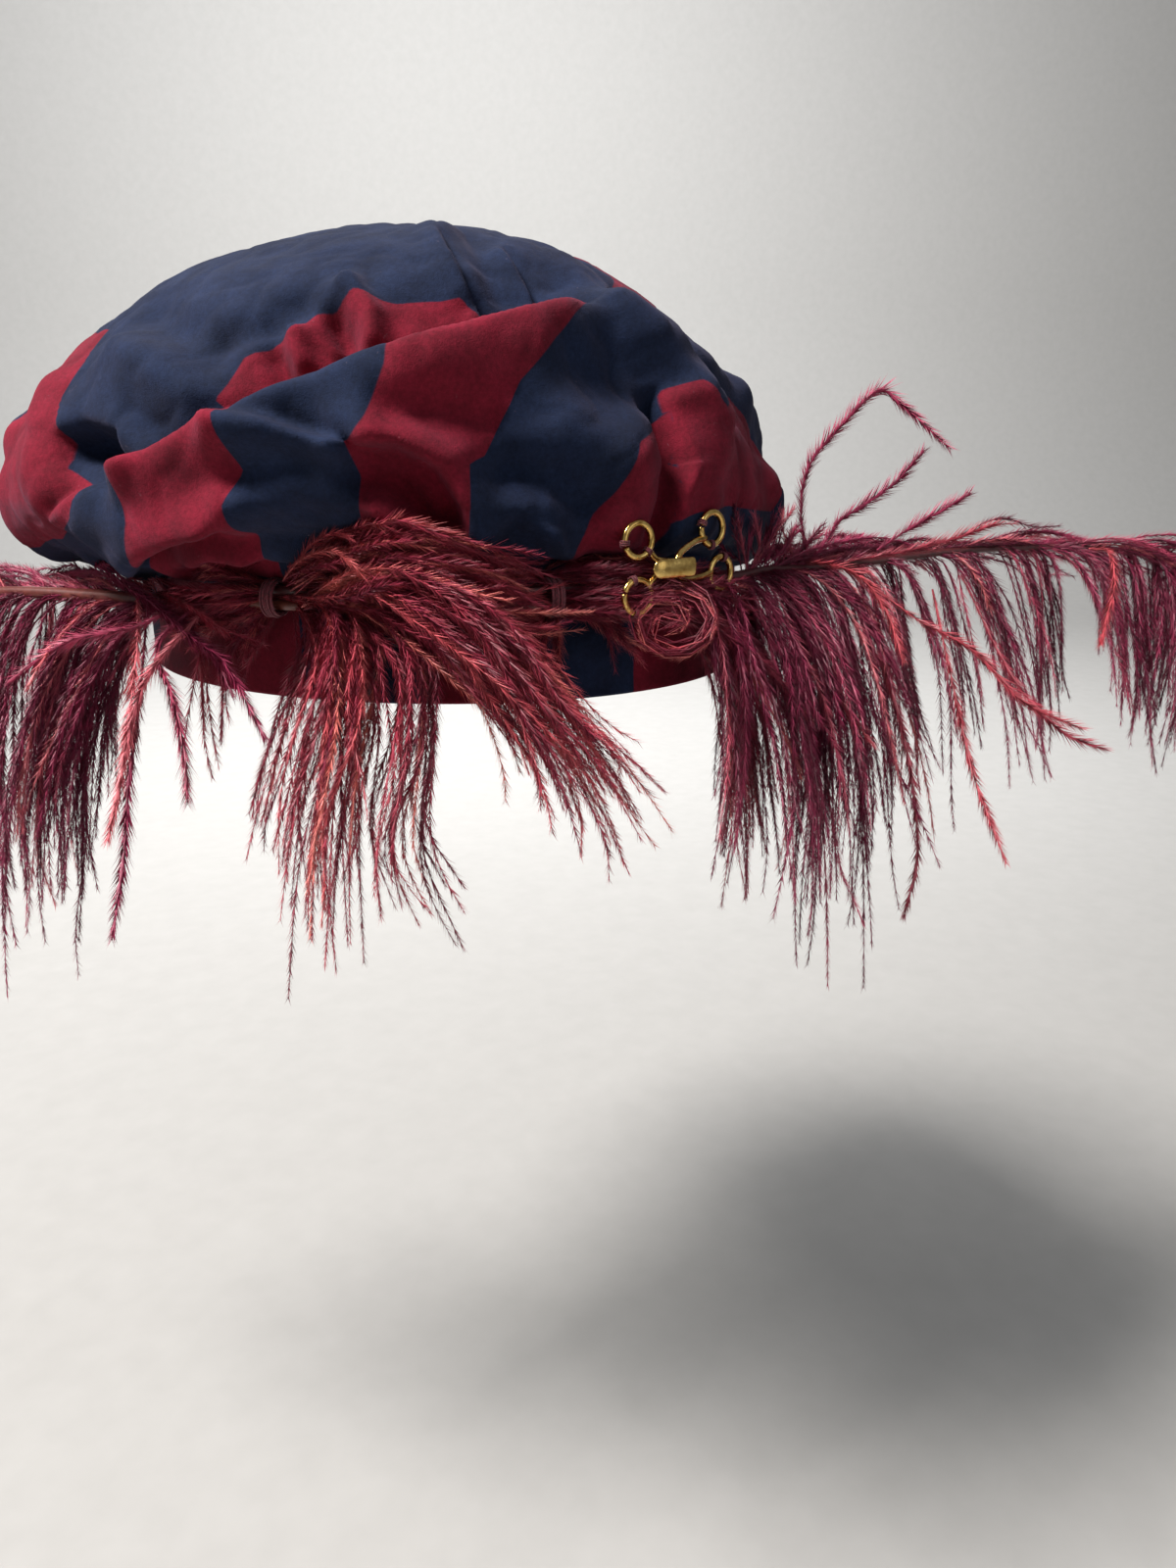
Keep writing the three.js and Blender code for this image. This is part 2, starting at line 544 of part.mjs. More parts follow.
// Turns a shape's own Z to a direction, keeps its Y upright and moves it to a point.
function placeOn(geometry, direction, at) {
  const up = new THREE.Vector3(0, 0, 1);
  const side = new THREE.Vector3().crossVectors(up, direction).normalize();
  const upright = new THREE.Vector3().crossVectors(direction, side);
  const frame = new THREE.Matrix4().makeBasis(side, upright, direction);
  frame.setPosition(...at);
  return geometry.applyMatrix4(frame);
}

function wire(points, radius) {
  const curve = new THREE.CatmullRomCurve3(points.map((point) => new THREE.Vector3(...point)));
  const outline = new THREE.Shape();
  outline.absarc(0, 0, radius, 0, Math.PI * 2);
  const settings = {
    extrudePath: curve,
    steps: 2 * (points.length - 1),
    bevelEnabled: false,
    curveSegments: 3,
  };
  return new THREE.ExtrudeGeometry(outline, settings);
}

function placeClasp(geometry, piece) {
  geometry.rotateZ(radians(piece.roll));
  return placeOn(geometry, outward(piece.facing), piece.at);
}

function sewingRing(x, y) {
  const ring = new THREE.TorusGeometry(RING_RADIUS, WIRE_RADIUS, 6, 15);
  return ring.translate(x, y, 0);
}

// Each clasp piece is drawn flat, X toward the wearer's left, Y up and Z away from the hat.
function makeHook() {
  const rise = HOOK.ringRise;
  const shanks = [-1, 1].map((side) =>
    wire(HOOK_WIRE.map(([x, y, z]) => [x, side * y, z]), WIRE_RADIUS),
  );
  const nose = new THREE.CapsuleGeometry(2.4, 8, 2, 8);
  nose.rotateZ(Math.PI / 2);
  nose.scale(1, 1, 0.42);
  nose.translate(7.9, 0, 4.3);
  const parts = [sewingRing(0, rise), sewingRing(0, -rise), ...shanks, nose];
  return placeClasp(fuse(parts), HOOK);
}

function makeEye() {
  const rise = EYE.ringRise;
  const arch = wire(EYE_WIRE, WIRE_RADIUS);
  return placeClasp(fuse([sewingRing(0, rise), sewingRing(0, -rise), arch]), EYE);
}

function addPiece(group, name, geometry, look) {
  const mesh = new THREE.Mesh(geometry, new THREE.MeshStandardMaterial(look));
  mesh.name = name;
  group.add(mesh);
}

const beret = new THREE.Group();
beret.name = "feathered_beret";
addPiece(beret, "crown", makeCrown(), CROWN_LOOK);
addPiece(beret, "headband", makeHeadband(), CLOTH_LOOK);
addPiece(beret, "plume_front", makePlume(FRONT_QUILL, FRONT_LOCKS), PLUME_LOOK);
addPiece(beret, "plume_right", makePlume(RIGHT_QUILL, RIGHT_LOCKS), PLUME_LOOK);
addPiece(beret, "plume_left", makePlume(LEFT_QUILL, LEFT_LOCKS), PLUME_LOOK);
for (const tie of TIES) {
  addPiece(beret, tie.name, makeTie(tie), THREAD_LOOK);
}
addPiece(beret, "clasp_hook", makeHook(), METAL_LOOK);
addPiece(beret, "clasp_eye", makeEye(), METAL_LOOK);

export default beret;
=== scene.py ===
"""The finish of a feathered beret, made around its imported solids.

Tables are in millimetres and degrees. A bearing goes round the hat, 0 at the wearer's front and +
to the wearer's left. A climb goes up the crown, 0 at the band, 0.3 at the widest line and 1 at the
pole. Meshes are in metres, where the solids are.
"""
import math

import bpy
import numpy as np
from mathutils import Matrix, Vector, noise
from mathutils.bvhtree import BVHTree


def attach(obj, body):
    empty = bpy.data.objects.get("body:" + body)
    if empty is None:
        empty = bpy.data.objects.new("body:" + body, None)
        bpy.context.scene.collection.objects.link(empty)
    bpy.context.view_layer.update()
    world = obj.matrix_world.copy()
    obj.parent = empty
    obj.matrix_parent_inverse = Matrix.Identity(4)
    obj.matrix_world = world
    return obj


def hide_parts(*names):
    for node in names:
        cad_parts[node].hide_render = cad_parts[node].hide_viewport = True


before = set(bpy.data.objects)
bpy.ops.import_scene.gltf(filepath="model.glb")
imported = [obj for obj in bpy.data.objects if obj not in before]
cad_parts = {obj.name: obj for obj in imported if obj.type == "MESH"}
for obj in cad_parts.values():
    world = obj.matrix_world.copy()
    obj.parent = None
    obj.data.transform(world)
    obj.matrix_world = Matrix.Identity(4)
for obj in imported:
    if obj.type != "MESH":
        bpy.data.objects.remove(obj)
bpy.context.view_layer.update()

MM = 0.001
SEED = 7

BAND_HALF_WIDTH = 85
BAND_HALF_LENGTH = 96
BAND_HEIGHT = 29
CLOTH = 2
PIECE_GAP = 0.3
CROWN_POLE = (-6, 2, 123)
BELLY_CLIMB = 0.3
GATHER_COUNT = 20
GATHER_RISE = 1.6
# Half width of the cloth that a seam draws in, how deep, and how far from a seam distances count.
SEAM_HALF = 0.8
SEAM_DEPTH = 0.35
SEAM_REACH = 14
WIRE_RADIUS = 0.85
RING_RADIUS = 4.1
BARB_POINTS = 18
# How far barbs stay from the cloth, and about one turn in radians, for their waves.
BARB_CLEARANCE = 0.9
FULL_TURN = 6.28

# Bearing, reach, belly height, shoulder reach and shoulder height of the crown's profile.
CROWN_SECTIONS = [
    (-180, 117, 54, 87, 96),
    (-150, 121, 52, 88.5, 97),
    (-120, 122, 51, 88.5, 97.5),
    (-90, 117, 54, 87, 100.5),
    (-50, 112, 59, 85, 105),
    (-20, 107, 55, 82, 102),
    (10, 105, 49, 80, 97),
    (40, 105, 47, 79, 93),
    (75, 106, 50, 81, 92),
    (110, 109, 53, 83, 93),
    (145, 113, 55, 86, 95),
]
REACH, BELLY_HEIGHT, SHOULDER_REACH, SHOULDER_HEIGHT = 1, 2, 3, 4

# Rolls (+) and creases (-) of the crown: rise, half width, then the line as bearings and climbs.
FOLDS = [
    (2.6, 9, (-20, 0.57), (-38, 0.49), (-54, 0.42), (-72, 0.37), (-88, 0.31), (-97, 0.25)),
    (-2.6, 9, (-26, 0.67), (-40, 0.6), (-54, 0.535), (-70, 0.485), (-86, 0.42), (-97, 0.36)),
    (3.0, 7, (-17, 0.6), (-13, 0.55), (-8, 0.5), (-3, 0.43)),
    (-3.0, 8, (-23, 0.53), (-18, 0.48), (-15, 0.43)),
    (2.5, 7, (-8, 0.46), (-7, 0.37), (-9, 0.26), (-10, 0.18)),
    (2.5, 7, (-22, 0.4), (-24, 0.28), (-26, 0.2)),
    (3.2, 5, (-60, 0.35), (-54, 0.345), (-48, 0.31), (-45, 0.24), (-44, 0.18)),
    (-4.6, 4, (-58, 0.29), (-54, 0.275), (-52, 0.235), (-51, 0.19)),
    (3.0, 2.6, (-57, 0.25), (-54.5, 0.225), (-54, 0.18)),
    (2.5, 5, (-73, 0.36), (-66, 0.35), (-60, 0.32)),
    (-2.0, 4, (-72, 0.31), (-66, 0.32), (-60, 0.3)),
    (2.5, 5, (-73, 0.27), (-66, 0.29), (-59, 0.28)),
    (-3.5, 6, (-72, 0.19), (-66, 0.165), (-60, 0.16)),
    (3.0, 6, (-95, 0.17), (-88, 0.21), (-82, 0.235), (-75, 0.24)),
    (-3.5, 4, (-91, 0.135), (-86, 0.16), (-80, 0.18), (-75, 0.17)),
    (2.4, 3, (-90, 0.11), (-83, 0.15), (-77, 0.14)),
    (-4.0, 6, (-98, 0.4), (-94, 0.37), (-91, 0.32)),
    (3.0, 5, (-90, 0.4), (-87, 0.37), (-86, 0.34)),
    (3.0, 7, (-94, 0.54), (-87, 0.51), (-81, 0.46)),
    (-3.0, 7, (-97, 0.63), (-86, 0.57), (-79, 0.52)),
    (2.5, 8, (-111, 0.5), (-107, 0.41), (-105, 0.3)),
    (1.6, 6, (-44, 0.78), (-45, 0.7), (-44, 0.62)),
    (-1.6, 5, (-38, 0.76), (-38, 0.68), (-36, 0.6)),
    (3.4, 3.6, (-60, 0.6), (-57, 0.55), (-57, 0.51)),
    (-3.6, 2.8, (-62, 0.56), (-60, 0.52), (-60, 0.5)),
    (2.8, 3, (-67, 0.53), (-66, 0.49)),
    (-3, 3, (-70, 0.51), (-68, 0.47)),
    (-2.4, 4, (-78, 0.55), (-72, 0.55), (-67, 0.58)),
    (-2.4, 7, (-30, 0.49), (-24, 0.44)),
    (2.5, 8, (-33, 0.37), (-27, 0.34)),
    (-3.0, 4.5, (-41, 0.3), (-35, 0.295), (-31, 0.25)),
    (2.6, 4, (-41, 0.25), (-37, 0.235), (-34, 0.19), (-32, 0.14)),
    (2.0, 8, (-56, 0.41), (-50, 0.42)),
    (-1.6, 4, (-54, 0.37), (-49, 0.385), (-43, 0.375)),
    (1.6, 6, (-12, 0.56), (0, 0.57), (12, 0.56)),
    (-5.5, 7, (-88, 0.08), (-60, 0.09), (-34, 0.09), (-10, 0.09), (6, 0.08)),
    (5.0, 8, (20, 0.53), (42, 0.44), (62, 0.35)),
    (-4.0, 6, (30, 0.6), (52, 0.51), (70, 0.44)),
    (4.0, 6, (20, 0.36), (24, 0.18)),
    (-4.0, 6, (50, 0.28), (47, 0.14)),
    (4.0, 6, (68, 0.3), (76, 0.16)),
    (5.0, 8, (86, 0.55), (108, 0.46), (130, 0.43)),
    (-4.0, 6, (92, 0.63), (114, 0.54)),
    (-4.0, 6, (98, 0.3), (106, 0.16)),
    (4.0, 6, (122, 0.3), (118, 0.15)),
    (5.0, 8, (140, 0.6), (160, 0.5), (178, 0.45)),
    (-4.0, 6, (150, 0.42), (170, 0.35)),
    (4.0, 6, (148, 0.28), (146, 0.14)),
    (-4.0, 6, (174, 0.28), (178, 0.14)),
    (5.0, 8, (-166, 0.56), (-150, 0.46), (-130, 0.43)),
    (-4.0, 6, (-150, 0.33), (-146, 0.16)),
    (4.0, 6, (-126, 0.3), (-122, 0.16)),
]

# Folds that lap over: rise of the lap, drop beside it, half widths of both, how far it leans over,
# then the line. The lap is at the left hand of one who goes along the line outside the hat.
LAPS = [
    (2.4, 5.4, 8, 8, 2.6, (-18, 0.62), (-28, 0.58), (-38, 0.53), (-48, 0.48), (-54, 0.457), (-64, 0.435),
     (-72, 0.405), (-80, 0.365), (-88, 0.335), (-96, 0.28)),
    (3.0, 5.0, 8, 6, 2.4, (-14, 0.49), (-14, 0.42), (-13.5, 0.35), (-15.5, 0.27), (-18, 0.14)),
    (1.8, 3.2, 7, 8, 1.4, (2, 0.44), (-3, 0.53), (-9, 0.6), (-15, 0.66)),
    (1.4, 2.4, 5, 5, 1.0, (-92, 0.33), (-98, 0.29), (-104, 0.25)),
    (2.4, 3.8, 5, 4, 1.2, (-57, 0.33), (-62, 0.345), (-68, 0.37), (-75, 0.385)),
    (2.8, 4.6, 5, 5, 1.6, (-61, 0.34), (-54, 0.335), (-49.5, 0.305), (-47, 0.25), (-46, 0.16)),
    (2.8, 4.2, 5, 5, 1.4, (-97, 0.12), (-88, 0.19), (-82, 0.215), (-74, 0.235)),
    (1.6, 5.0, 5, 8, 1.0, (-103, 0.42), (-97, 0.435), (-90, 0.41)),
    (1.4, 2.0, 5, 4, 0.8, (-40, 0.55), (-43, 0.61), (-45, 0.67), (-46, 0.76)),
    (1.2, 1.6, 5, 4, 0.6, (-30, 0.59), (-31, 0.66), (-33, 0.74)),
    (1.0, 1.4, 3.5, 3.5, 0.6, (-33, 0.16), (-35, 0.21), (-40, 0.24)),
    (0.8, 1.2, 3, 3, 0.5, (-56, 0.44), (-62, 0.42), (-70, 0.4)),
]
LAP_EDGE = 1.2
# The folds are deeper between these bearings, by this share, and it fades in over this many degrees.
FRONT_BEARINGS = (-118, 24)
FRONT_DEPTH = 0.45
FRONT_FADE = 14

BACK_COLUMNS = [24, 53, 82, 110, 139, 168, 197, 226]
BACK_ROWS = [0.03, 0.3, 0.6, 0.86]


def back_squares():
    """Outlines of every second square of the back's check, which leans a little as it goes up."""
    first, last = BACK_COLUMNS[0], BACK_COLUMNS[-1]

    def corner(bearing, climb):
        lean = 10 * math.sin(math.pi * (bearing - first) / (last - first)) * (climb - 0.3) / 0.3
        return bearing + lean, climb

    squares = []
    for row, (low, high) in enumerate(zip(BACK_ROWS, BACK_ROWS[1:])):
        for column, (left, right) in enumerate(zip(BACK_COLUMNS, BACK_COLUMNS[1:])):
            beside_front_square = row == 2 and column == 0
            if (row + column) % 2 == 0 and not beside_front_square:
                corners = ((left, low), (left, high), (right, high), (right, low))
                squares.append(tuple(corner(*place) for place in corners))
    return squares


# Outlines of the burgundy squares of the crown's cloth, as bearings and climbs.
BURGUNDY_SQUARES = [
    ((-77, 0.445), (-74, 0.508), (-70, 0.533), (-67, 0.53), (-65, 0.568), (-61, 0.578), (-54, 0.578),
     (-44.5, 0.59), (-41, 0.56), (-40, 0.52), (-48, 0.475), (-54, 0.452), (-64, 0.43), (-73, 0.4)),
    ((-54, 0.456), (-48, 0.48), (-38, 0.53), (-28, 0.58), (-21.5, 0.612), (-33, 0.5), (-39, 0.43),
     (-42, 0.36), (-44, 0.318), (-46, 0.308), (-46, 0.21), (-45, 0.04), (-60, 0.04), (-59, 0.2),
     (-58.5, 0.29), (-59.5, 0.34), (-57, 0.367), (-54.5, 0.42)),
    ((-86.5, 0.335), (-80, 0.366), (-75, 0.388), (-72, 0.4), (-72, 0.35), (-71.5, 0.313), (-73.5, 0.27),
     (-73.5, 0.17), (-75, 0.04), (-101, 0.04), (-95, 0.12), (-89, 0.2), (-87, 0.25)),
    ((-13, 0.438), (-24, 0.361), (-28, 0.265), (-32, 0.172), (-31, 0.03), (-14, 0.03), (-17.5, 0.16),
     (-15, 0.27), (-14, 0.33)),
    ((-14, 0.475), (-9, 0.48), (-5, 0.445), (3, 0.49), (10, 0.515), (14, 0.49), (20, 0.45), (22, 0.38),
     (18, 0.27), (-2, 0.275), (-12, 0.255), (-16, 0.23), (-15, 0.272), (-13.5, 0.35), (-13.5, 0.43)),
    ((-124, 0.62), (-108, 0.61), (-105, 0.546), (-104.5, 0.48), (-102, 0.43), (-101, 0.36), (-95, 0.3),
     (-97, 0.255), (-107, 0.197), (-120, 0.18), (-134, 0.24), (-132, 0.42)),
    ((-15, 0.65), (0, 0.675), (18, 0.69), (34, 0.74), (24, 0.9), (-8, 0.86), (-2, 0.72)),
    *back_squares(),
]
# Bearings of the headband's seams. Every second square is burgundy, the first one too.
BAND_SEAMS = [-102, -75.6, -52, -33.5, -17.9, 9, 35, 61, 87, 113, 139, 165, 191, 217, 238]

# Centre lines of the quills, root first, with the radius there.
RIGHT_QUILL = [
    (-66.3, -79.8, 30.2, 1.2),
    (-52.2, -89, 30.2, 1.3),
    (-36, -97.5, 29.6, 1.5),
    (-12, -106, 29.6, 1.5),
    (12, -108.5, 30, 1.4),
    (43, -116, 29, 1.3),
    (87, -144, 32, 1.1),
    (138, -176, 30, 0.9),
    (172, -197, 23, 0.8),
    (204, -216, 8, 0.7),
    (226, -228, -14, 0.6),
]
LEFT_QUILL = [
    (-89.8, -29.6, 25.7, 1.2),
    (-93.2, -16, 25.7, 1.4),
    (-94.6, 2, 24.8, 2),
    (-95, 19, 23.8, 2.3),
    (-98, 40, 24, 2.2),
    (-106, 73, 24, 1.6),
    (-118, 115, 20, 1.2),
    (-131, 150, 9, 0.9),
    (-143, 180, -10, 0.6),
]
FRONT_QUILL = [
    (-93.2, -16, 29.3, 1.3),
    (-89.8, -29.6, 29.3, 1.4),
    (-89, -43, 28.4, 1.4),
    (-83.5, -59.5, 27.4, 1.4),
    (-74.5, -72.5, 27, 1.3),
    (-59.3, -84.7, 26.8, 1.2),
    (-45, -93, 25.6, 1.1),
    (-28, -101, 23, 1),
]

# Barbs that leave a quill: where (0 root, 1 tip), their length, and how far they go along the
# quill, away from the hat, up, and then down, as shares of the length.
RIGHT_ROOT = [
    (0.28, 84, -0.06, 0.22, 0.0, 0.96),
    (0.34, 102, 0.0, 0.26, 0.02, 0.95),
    (0.4, 112, 0.06, 0.3, 0.03, 0.94),
    (0.48, 110, 0.16, 0.24, 0.04, 0.92),
]
RIGHT_FALL = [
    (0.34, 112, 0.02, 0.1, 0.03, 0.94),
    (0.42, 122, 0.1, 0.12, 0.04, 0.96),
    (0.5, 112, 0.18, 0.12, 0.06, 0.93),
    (0.56, 90, 0.3, 0.12, 0.08, 0.86),
    (0.64, 82, 0.32, 0.12, 0.1, 0.84),
    (0.72, 84, 0.06, 0.14, 0.12, 0.86),
    (0.8, 82, -0.2, 0.18, 0.12, 0.86),
    (0.9, 60, -0.05, 0.14, 0.08, 0.8),
    (0.99, 30, 0.2, 0.08, 0.05, 0.7),
]
RIGHT_SWEPT = [
    (0.36, 74, 0.88, -0.06, 0.34, 0.02),
    (0.47, 84, 0.92, -0.06, 0.3, 0.06),
    (0.58, 92, 0.95, -0.04, 0.24, 0.12),
    (0.7, 86, 0.93, 0.02, 0.24, 0.36),
    (0.82, 56, 0.84, 0.04, 0.22, 0.6),
    (0.96, 24, 0.5, 0.04, 0.12, 0.66),
]
RIGHT_RAISED = [
    (0.34, 30, 0.0, -0.1, 0.9, -0.6),
    (0.4, 34, 0.3, -0.1, 0.85, -0.5),
    (0.5, 32, 0.7, -0.1, 0.5, -0.3),
]
LEFT_ROOT = [
    (0.34, 90, 0.42, 0.2, 0.0, 0.8),
    (0.42, 104, 0.28, 0.18, 0.02, 0.88),
    (0.5, 112, 0.16, 0.16, 0.03, 0.93),
    (0.62, 104, 0.2, 0.14, 0.05, 0.92),
]
LEFT_FALL = [
    (0.6, 100, 0.26, 0.14, 0.04, 0.92),
    (0.72, 86, 0.28, 0.12, 0.06, 0.9),
    (0.84, 62, 0.2, 0.1, 0.06, 0.86),
    (0.96, 34, 0.2, 0.08, 0.05, 0.75),
]
LEFT_SWEPT = [
    (0.34, 40, 0.82, -0.3, 0.5, -0.1),
    (0.46, 48, 0.86, -0.28, 0.5, 0.0),
    (0.6, 56, 0.9, -0.2, 0.4, 0.1),
    (0.76, 44, 0.8, -0.05, 0.26, 0.4),
    (0.93, 20, 0.5, 0.0, 0.14, 0.6),
]

# Barbs that follow the band: a first and a last guide line, each as bearing, height and
# stand-off from the band, with the locks between the two and the barbs in each lock.
FRONT_OVER = [
    (9, 6, ((-77, 30, 4), (-67, 39.5, 14), (-60, 44, 22), (-55.5, 46.5, 25), (-50.5, 44.5, 25),
            (-45, 40.5, 20), (-39.5, 37, 12), (-34, 33, 5)),
     ((-77, 30, 4), (-66, 35, 12), (-57, 38.5, 20), (-50, 38, 22), (-42, 35, 16), (-34, 31, 6))),
    (8, 6, ((-77, 30, 3), (-66, 34, 10), (-57, 37, 18), (-50, 36, 19), (-42, 33, 15), (-34, 30, 7)),
     ((-77, 28, 3), (-66.5, 27, 8), (-57.5, 24, 11), (-48, 24, 11), (-40, 26, 9), (-34, 27, 6))),
    (6, 5, ((-78, 29, 6), (-66, 31, 14), (-57, 33, 17), (-48, 32, 17), (-40, 31, 15), (-32, 30, 11)),
     ((-78, 27, 6), (-66, 23, 13), (-57, 20, 14), (-48, 20, 15), (-40, 22, 14), (-32, 24, 11))),
    (4, 5, ((-72, 36, 13), (-62, 42, 18), (-53, 36, 24), (-44, 37, 19), (-35, 30, 11)),
     ((-70, 26, 12), (-60, 33, 18), (-51, 40, 22), (-43, 30, 18), (-34, 27, 11))),
]
FRONT_TANGLE = [
    (7, 3, ((-74, 32, 10), (-66, 38, 18), (-58, 42, 25), (-52, 37, 27), (-46, 31, 25)),
     ((-70, 25, 12), (-62, 29, 18), (-54, 33, 23), (-46, 34, 21), (-37, 33, 14))),
    (5, 3, ((-68, 24, 12), (-61, 34, 18), (-54, 41, 24), (-46, 40, 21), (-38, 32, 13)),
     ((-66, 38, 16), (-59, 31, 19), (-52, 27, 22), (-44, 20, 22), (-38, 8, 20))),
]
# Guide lines that two rows of the next tables share.
FALL_MIDDLE_OUT = ((-76, 30, 4), (-61.5, 34.5, 16), (-52.5, 31.5, 26), (-45, 20.5, 33), (-39.5, 2.5, 36),
                   (-34.5, -16.5, 38), (-31.5, -34.5, 38))
FALL_MIDDLE_IN = ((-76, 30, 4), (-62.5, 34, 12), (-52.5, 30.5, 17), (-44.5, 18, 20), (-37, -1.5, 20),
                  (-31, -22.5, 20), (-26.5, -42, 20))
HANG_MIDDLE_IN = ((-76.5, 28.5, 3), (-68, 24.5, 9), (-65, 16.5, 12), (-65, -0.5, 16), (-69.5, -28, 18),
                  (-72, -67, 19))
HANG_MIDDLE_OUT = ((-76, 29, 4), (-66.5, 25, 14), (-63.5, 18, 20), (-62.5, 2.5, 28), (-66, -22.5, 33),
                   (-67.5, -58, 36))
FRONT_FALL = [
    (5, 7, ((-76, 30, 4), (-63.5, 38, 16), (-55, 40.5, 26), (-45.5, 31.5, 33), (-40, 16.5, 36),
            (-35.5, 5, 37), (-28, -17, 38)),
     FALL_MIDDLE_OUT),
    (5, 7, ((-76, 30, 4), (-64.5, 37.5, 12), (-55.5, 39.5, 18), (-45, 30, 22), (-38, 13.5, 22),
            (-32.5, 1.5, 22), (-23, -22.5, 22)),
     FALL_MIDDLE_IN),
    (4, 6, FALL_MIDDLE_OUT,
     ((-76, 29.5, 4), (-63.5, 30, 14), (-56, 24.5, 22), (-50.5, 17, 28), (-45, 7.5, 30), (-40.5, -7, 30),
      (-37.5, -27.5, 30))),
    (4, 6, FALL_MIDDLE_IN,
     ((-76, 29.5, 4), (-64.5, 29.5, 10), (-57, 23, 14), (-50.5, 15, 16), (-44, 4.5, 16), (-38.5, -11, 16),
      (-35, -32.5, 16))),
]
FRONT_HANG = [
    (3, 6, ((-76.5, 29, 3), (-71.5, 25, 8), (-69.5, 17.5, 11), (-73, 1.5, 14), (-78, -22, 16),
            (-81.5, -38.5, 17)),
     HANG_MIDDLE_IN),
    (3, 6, ((-76.5, 29, 3), (-70.5, 25, 11), (-68, 18.5, 16), (-70.5, 3.5, 22), (-74, -18.5, 26),
            (-76.5, -33.5, 28)),
     HANG_MIDDLE_OUT),
    (4, 6, HANG_MIDDLE_IN,
     ((-75, 29, 4), (-64.5, 25, 10), (-61.5, 17, 13), (-61.5, 0, 17), (-61.5, -30.5, 19),
      (-60.5, -68, 20))),
    (4, 6, HANG_MIDDLE_OUT,
     ((-75, 29, 4), (-63.5, 25.5, 15), (-60, 18.5, 22), (-59.5, 3, 31), (-59, -24, 37),
      (-58, -58.5, 40))),
    (2, 6, ((-74.5, 29, 4), (-61, 25, 10), (-55.5, 17, 13), (-55.5, -2.5, 17), (-58.5, -31, 19),
            (-58, -57, 20)),
     ((-74.5, 29, 4), (-60.5, 25.5, 15), (-55, 18.5, 22), (-54.5, 1, 31), (-57, -25, 37),
      (-56.5, -48, 40))),
    (3, 6, ((-74.5, 29, 4), (-60, 25, 11), (-53, 17.5, 14), (-52.5, -7, 18), (-54.5, -33.5, 20),
            (-48.5, -58.5, 21)),
     ((-74.5, 29, 4), (-59, 26, 16), (-52.5, 19, 24), (-52, -3.5, 32), (-53.5, -27, 38),
      (-49, -50, 40))),
]
FRONT_END = [
    (2, 4, ((-33, 33, 4), (-34, 24, 6), (-34.5, 16, 8), (-35.5, 5, 10)),
     ((-33, 32, 4), (-35, 22, 6), (-36, 8, 9), (-38, -6, 12))),
    (4, 5, ((-33, 33, 5), (-30, 30, 6), (-27.5, 24.5, 8), (-25, 21, 9), (-21.5, 6.5, 11)),
     ((-33, 30, 5), (-29, 25, 7), (-24, 18, 9), (-16, 12, 11))),
]
CLASP_BARBS = [
    (6, 6, ((-35, 34, 4), (-28.5, 37.5, 6), (-21.5, 36, 9), (-15.5, 31.5, 14), (-7.5, 28, 18),
            (0, 26, 20)),
     ((-34, 30, 4), (-27, 28, 6), (-20, 27, 9), (-12, 24, 13), (-4, 20, 16), (2, 18, 18))),
    (7, 6, ((-39, 33, 6), (-34, 33.5, 11), (-28, 33, 14), (-20, 31, 15), (-12, 30, 16), (-4, 28, 17)),
     ((-39, 26, 6), (-34, 25, 11), (-28, 24, 14), (-20, 22, 15), (-12, 20, 16), (-5, 17, 17))),
    (6, 7, ((-20, 31, 7), (-16, 28, 13), (-11, 22, 20), (-4, 12, 26), (6, -10.5, 30)),
     ((-19, 29, 7), (-15, 20, 14), (-10, 4, 19), (-9, -22, 23), (-10, -52, 26))),
    (4, 7, ((-18, 29, 9), (-14, 18, 14), (-9, 0, 18), (-8, -20, 22), (-6, -46, 24)),
     ((-8, 29, 9), (-4, 18, 15), (2, 0, 22), (6, -22, 27), (8, -58, 32))),
]
TIE_TUFTS = [
    (4, 6, ((-77, 30, 3), (-80, 35.5, 7), (-83.5, 37, 10), (-88.5, 34.5, 12)),
     ((-77, 29, 3), (-85, 30, 7), (-90, 33, 10), (-96, 34, 11))),
    (5, 6, ((-76, 29, 6), (-82, 29, 12), (-89, 27, 15), (-97, 27, 16)),
     ((-76, 26, 6), (-82, 22, 12), (-89, 19, 14), (-97, 13, 14))),
    (4, 6, ((-98, 31, 14), (-91, 29, 15), (-84, 27, 13), (-77, 24, 9)),
     ((-99, 22, 14), (-92, 23, 15), (-85, 21, 13), (-78, 16, 9))),
    (3, 5, ((-77, 29, 3), (-82, 27, 8), (-86.5, 21.5, 10), (-88.5, 14, 11)),
     ((-77, 27, 3), (-80, 18, 7), (-84, 6, 9), (-84, -10, 12))),
    (2, 4, ((-92, 24, 5), (-93, 12, 8), (-94, -8, 10), (-93, -38, 12)),
     ((-86, 24, 5), (-88, 10, 8), (-89, -8, 10), (-90, -24, 12))),
    (1, 3, ((-112, 33, 12), (-104, 27, 14), (-98.5, 22.5, 14), (-91.5, 15, 13), (-85, 9, 13),
            (-82, -4, 12)),
     ((-112, 31, 12), (-104, 25, 14), (-98, 20, 14), (-91, 12, 13), (-86, 4, 13), (-84, -12, 12))),
]

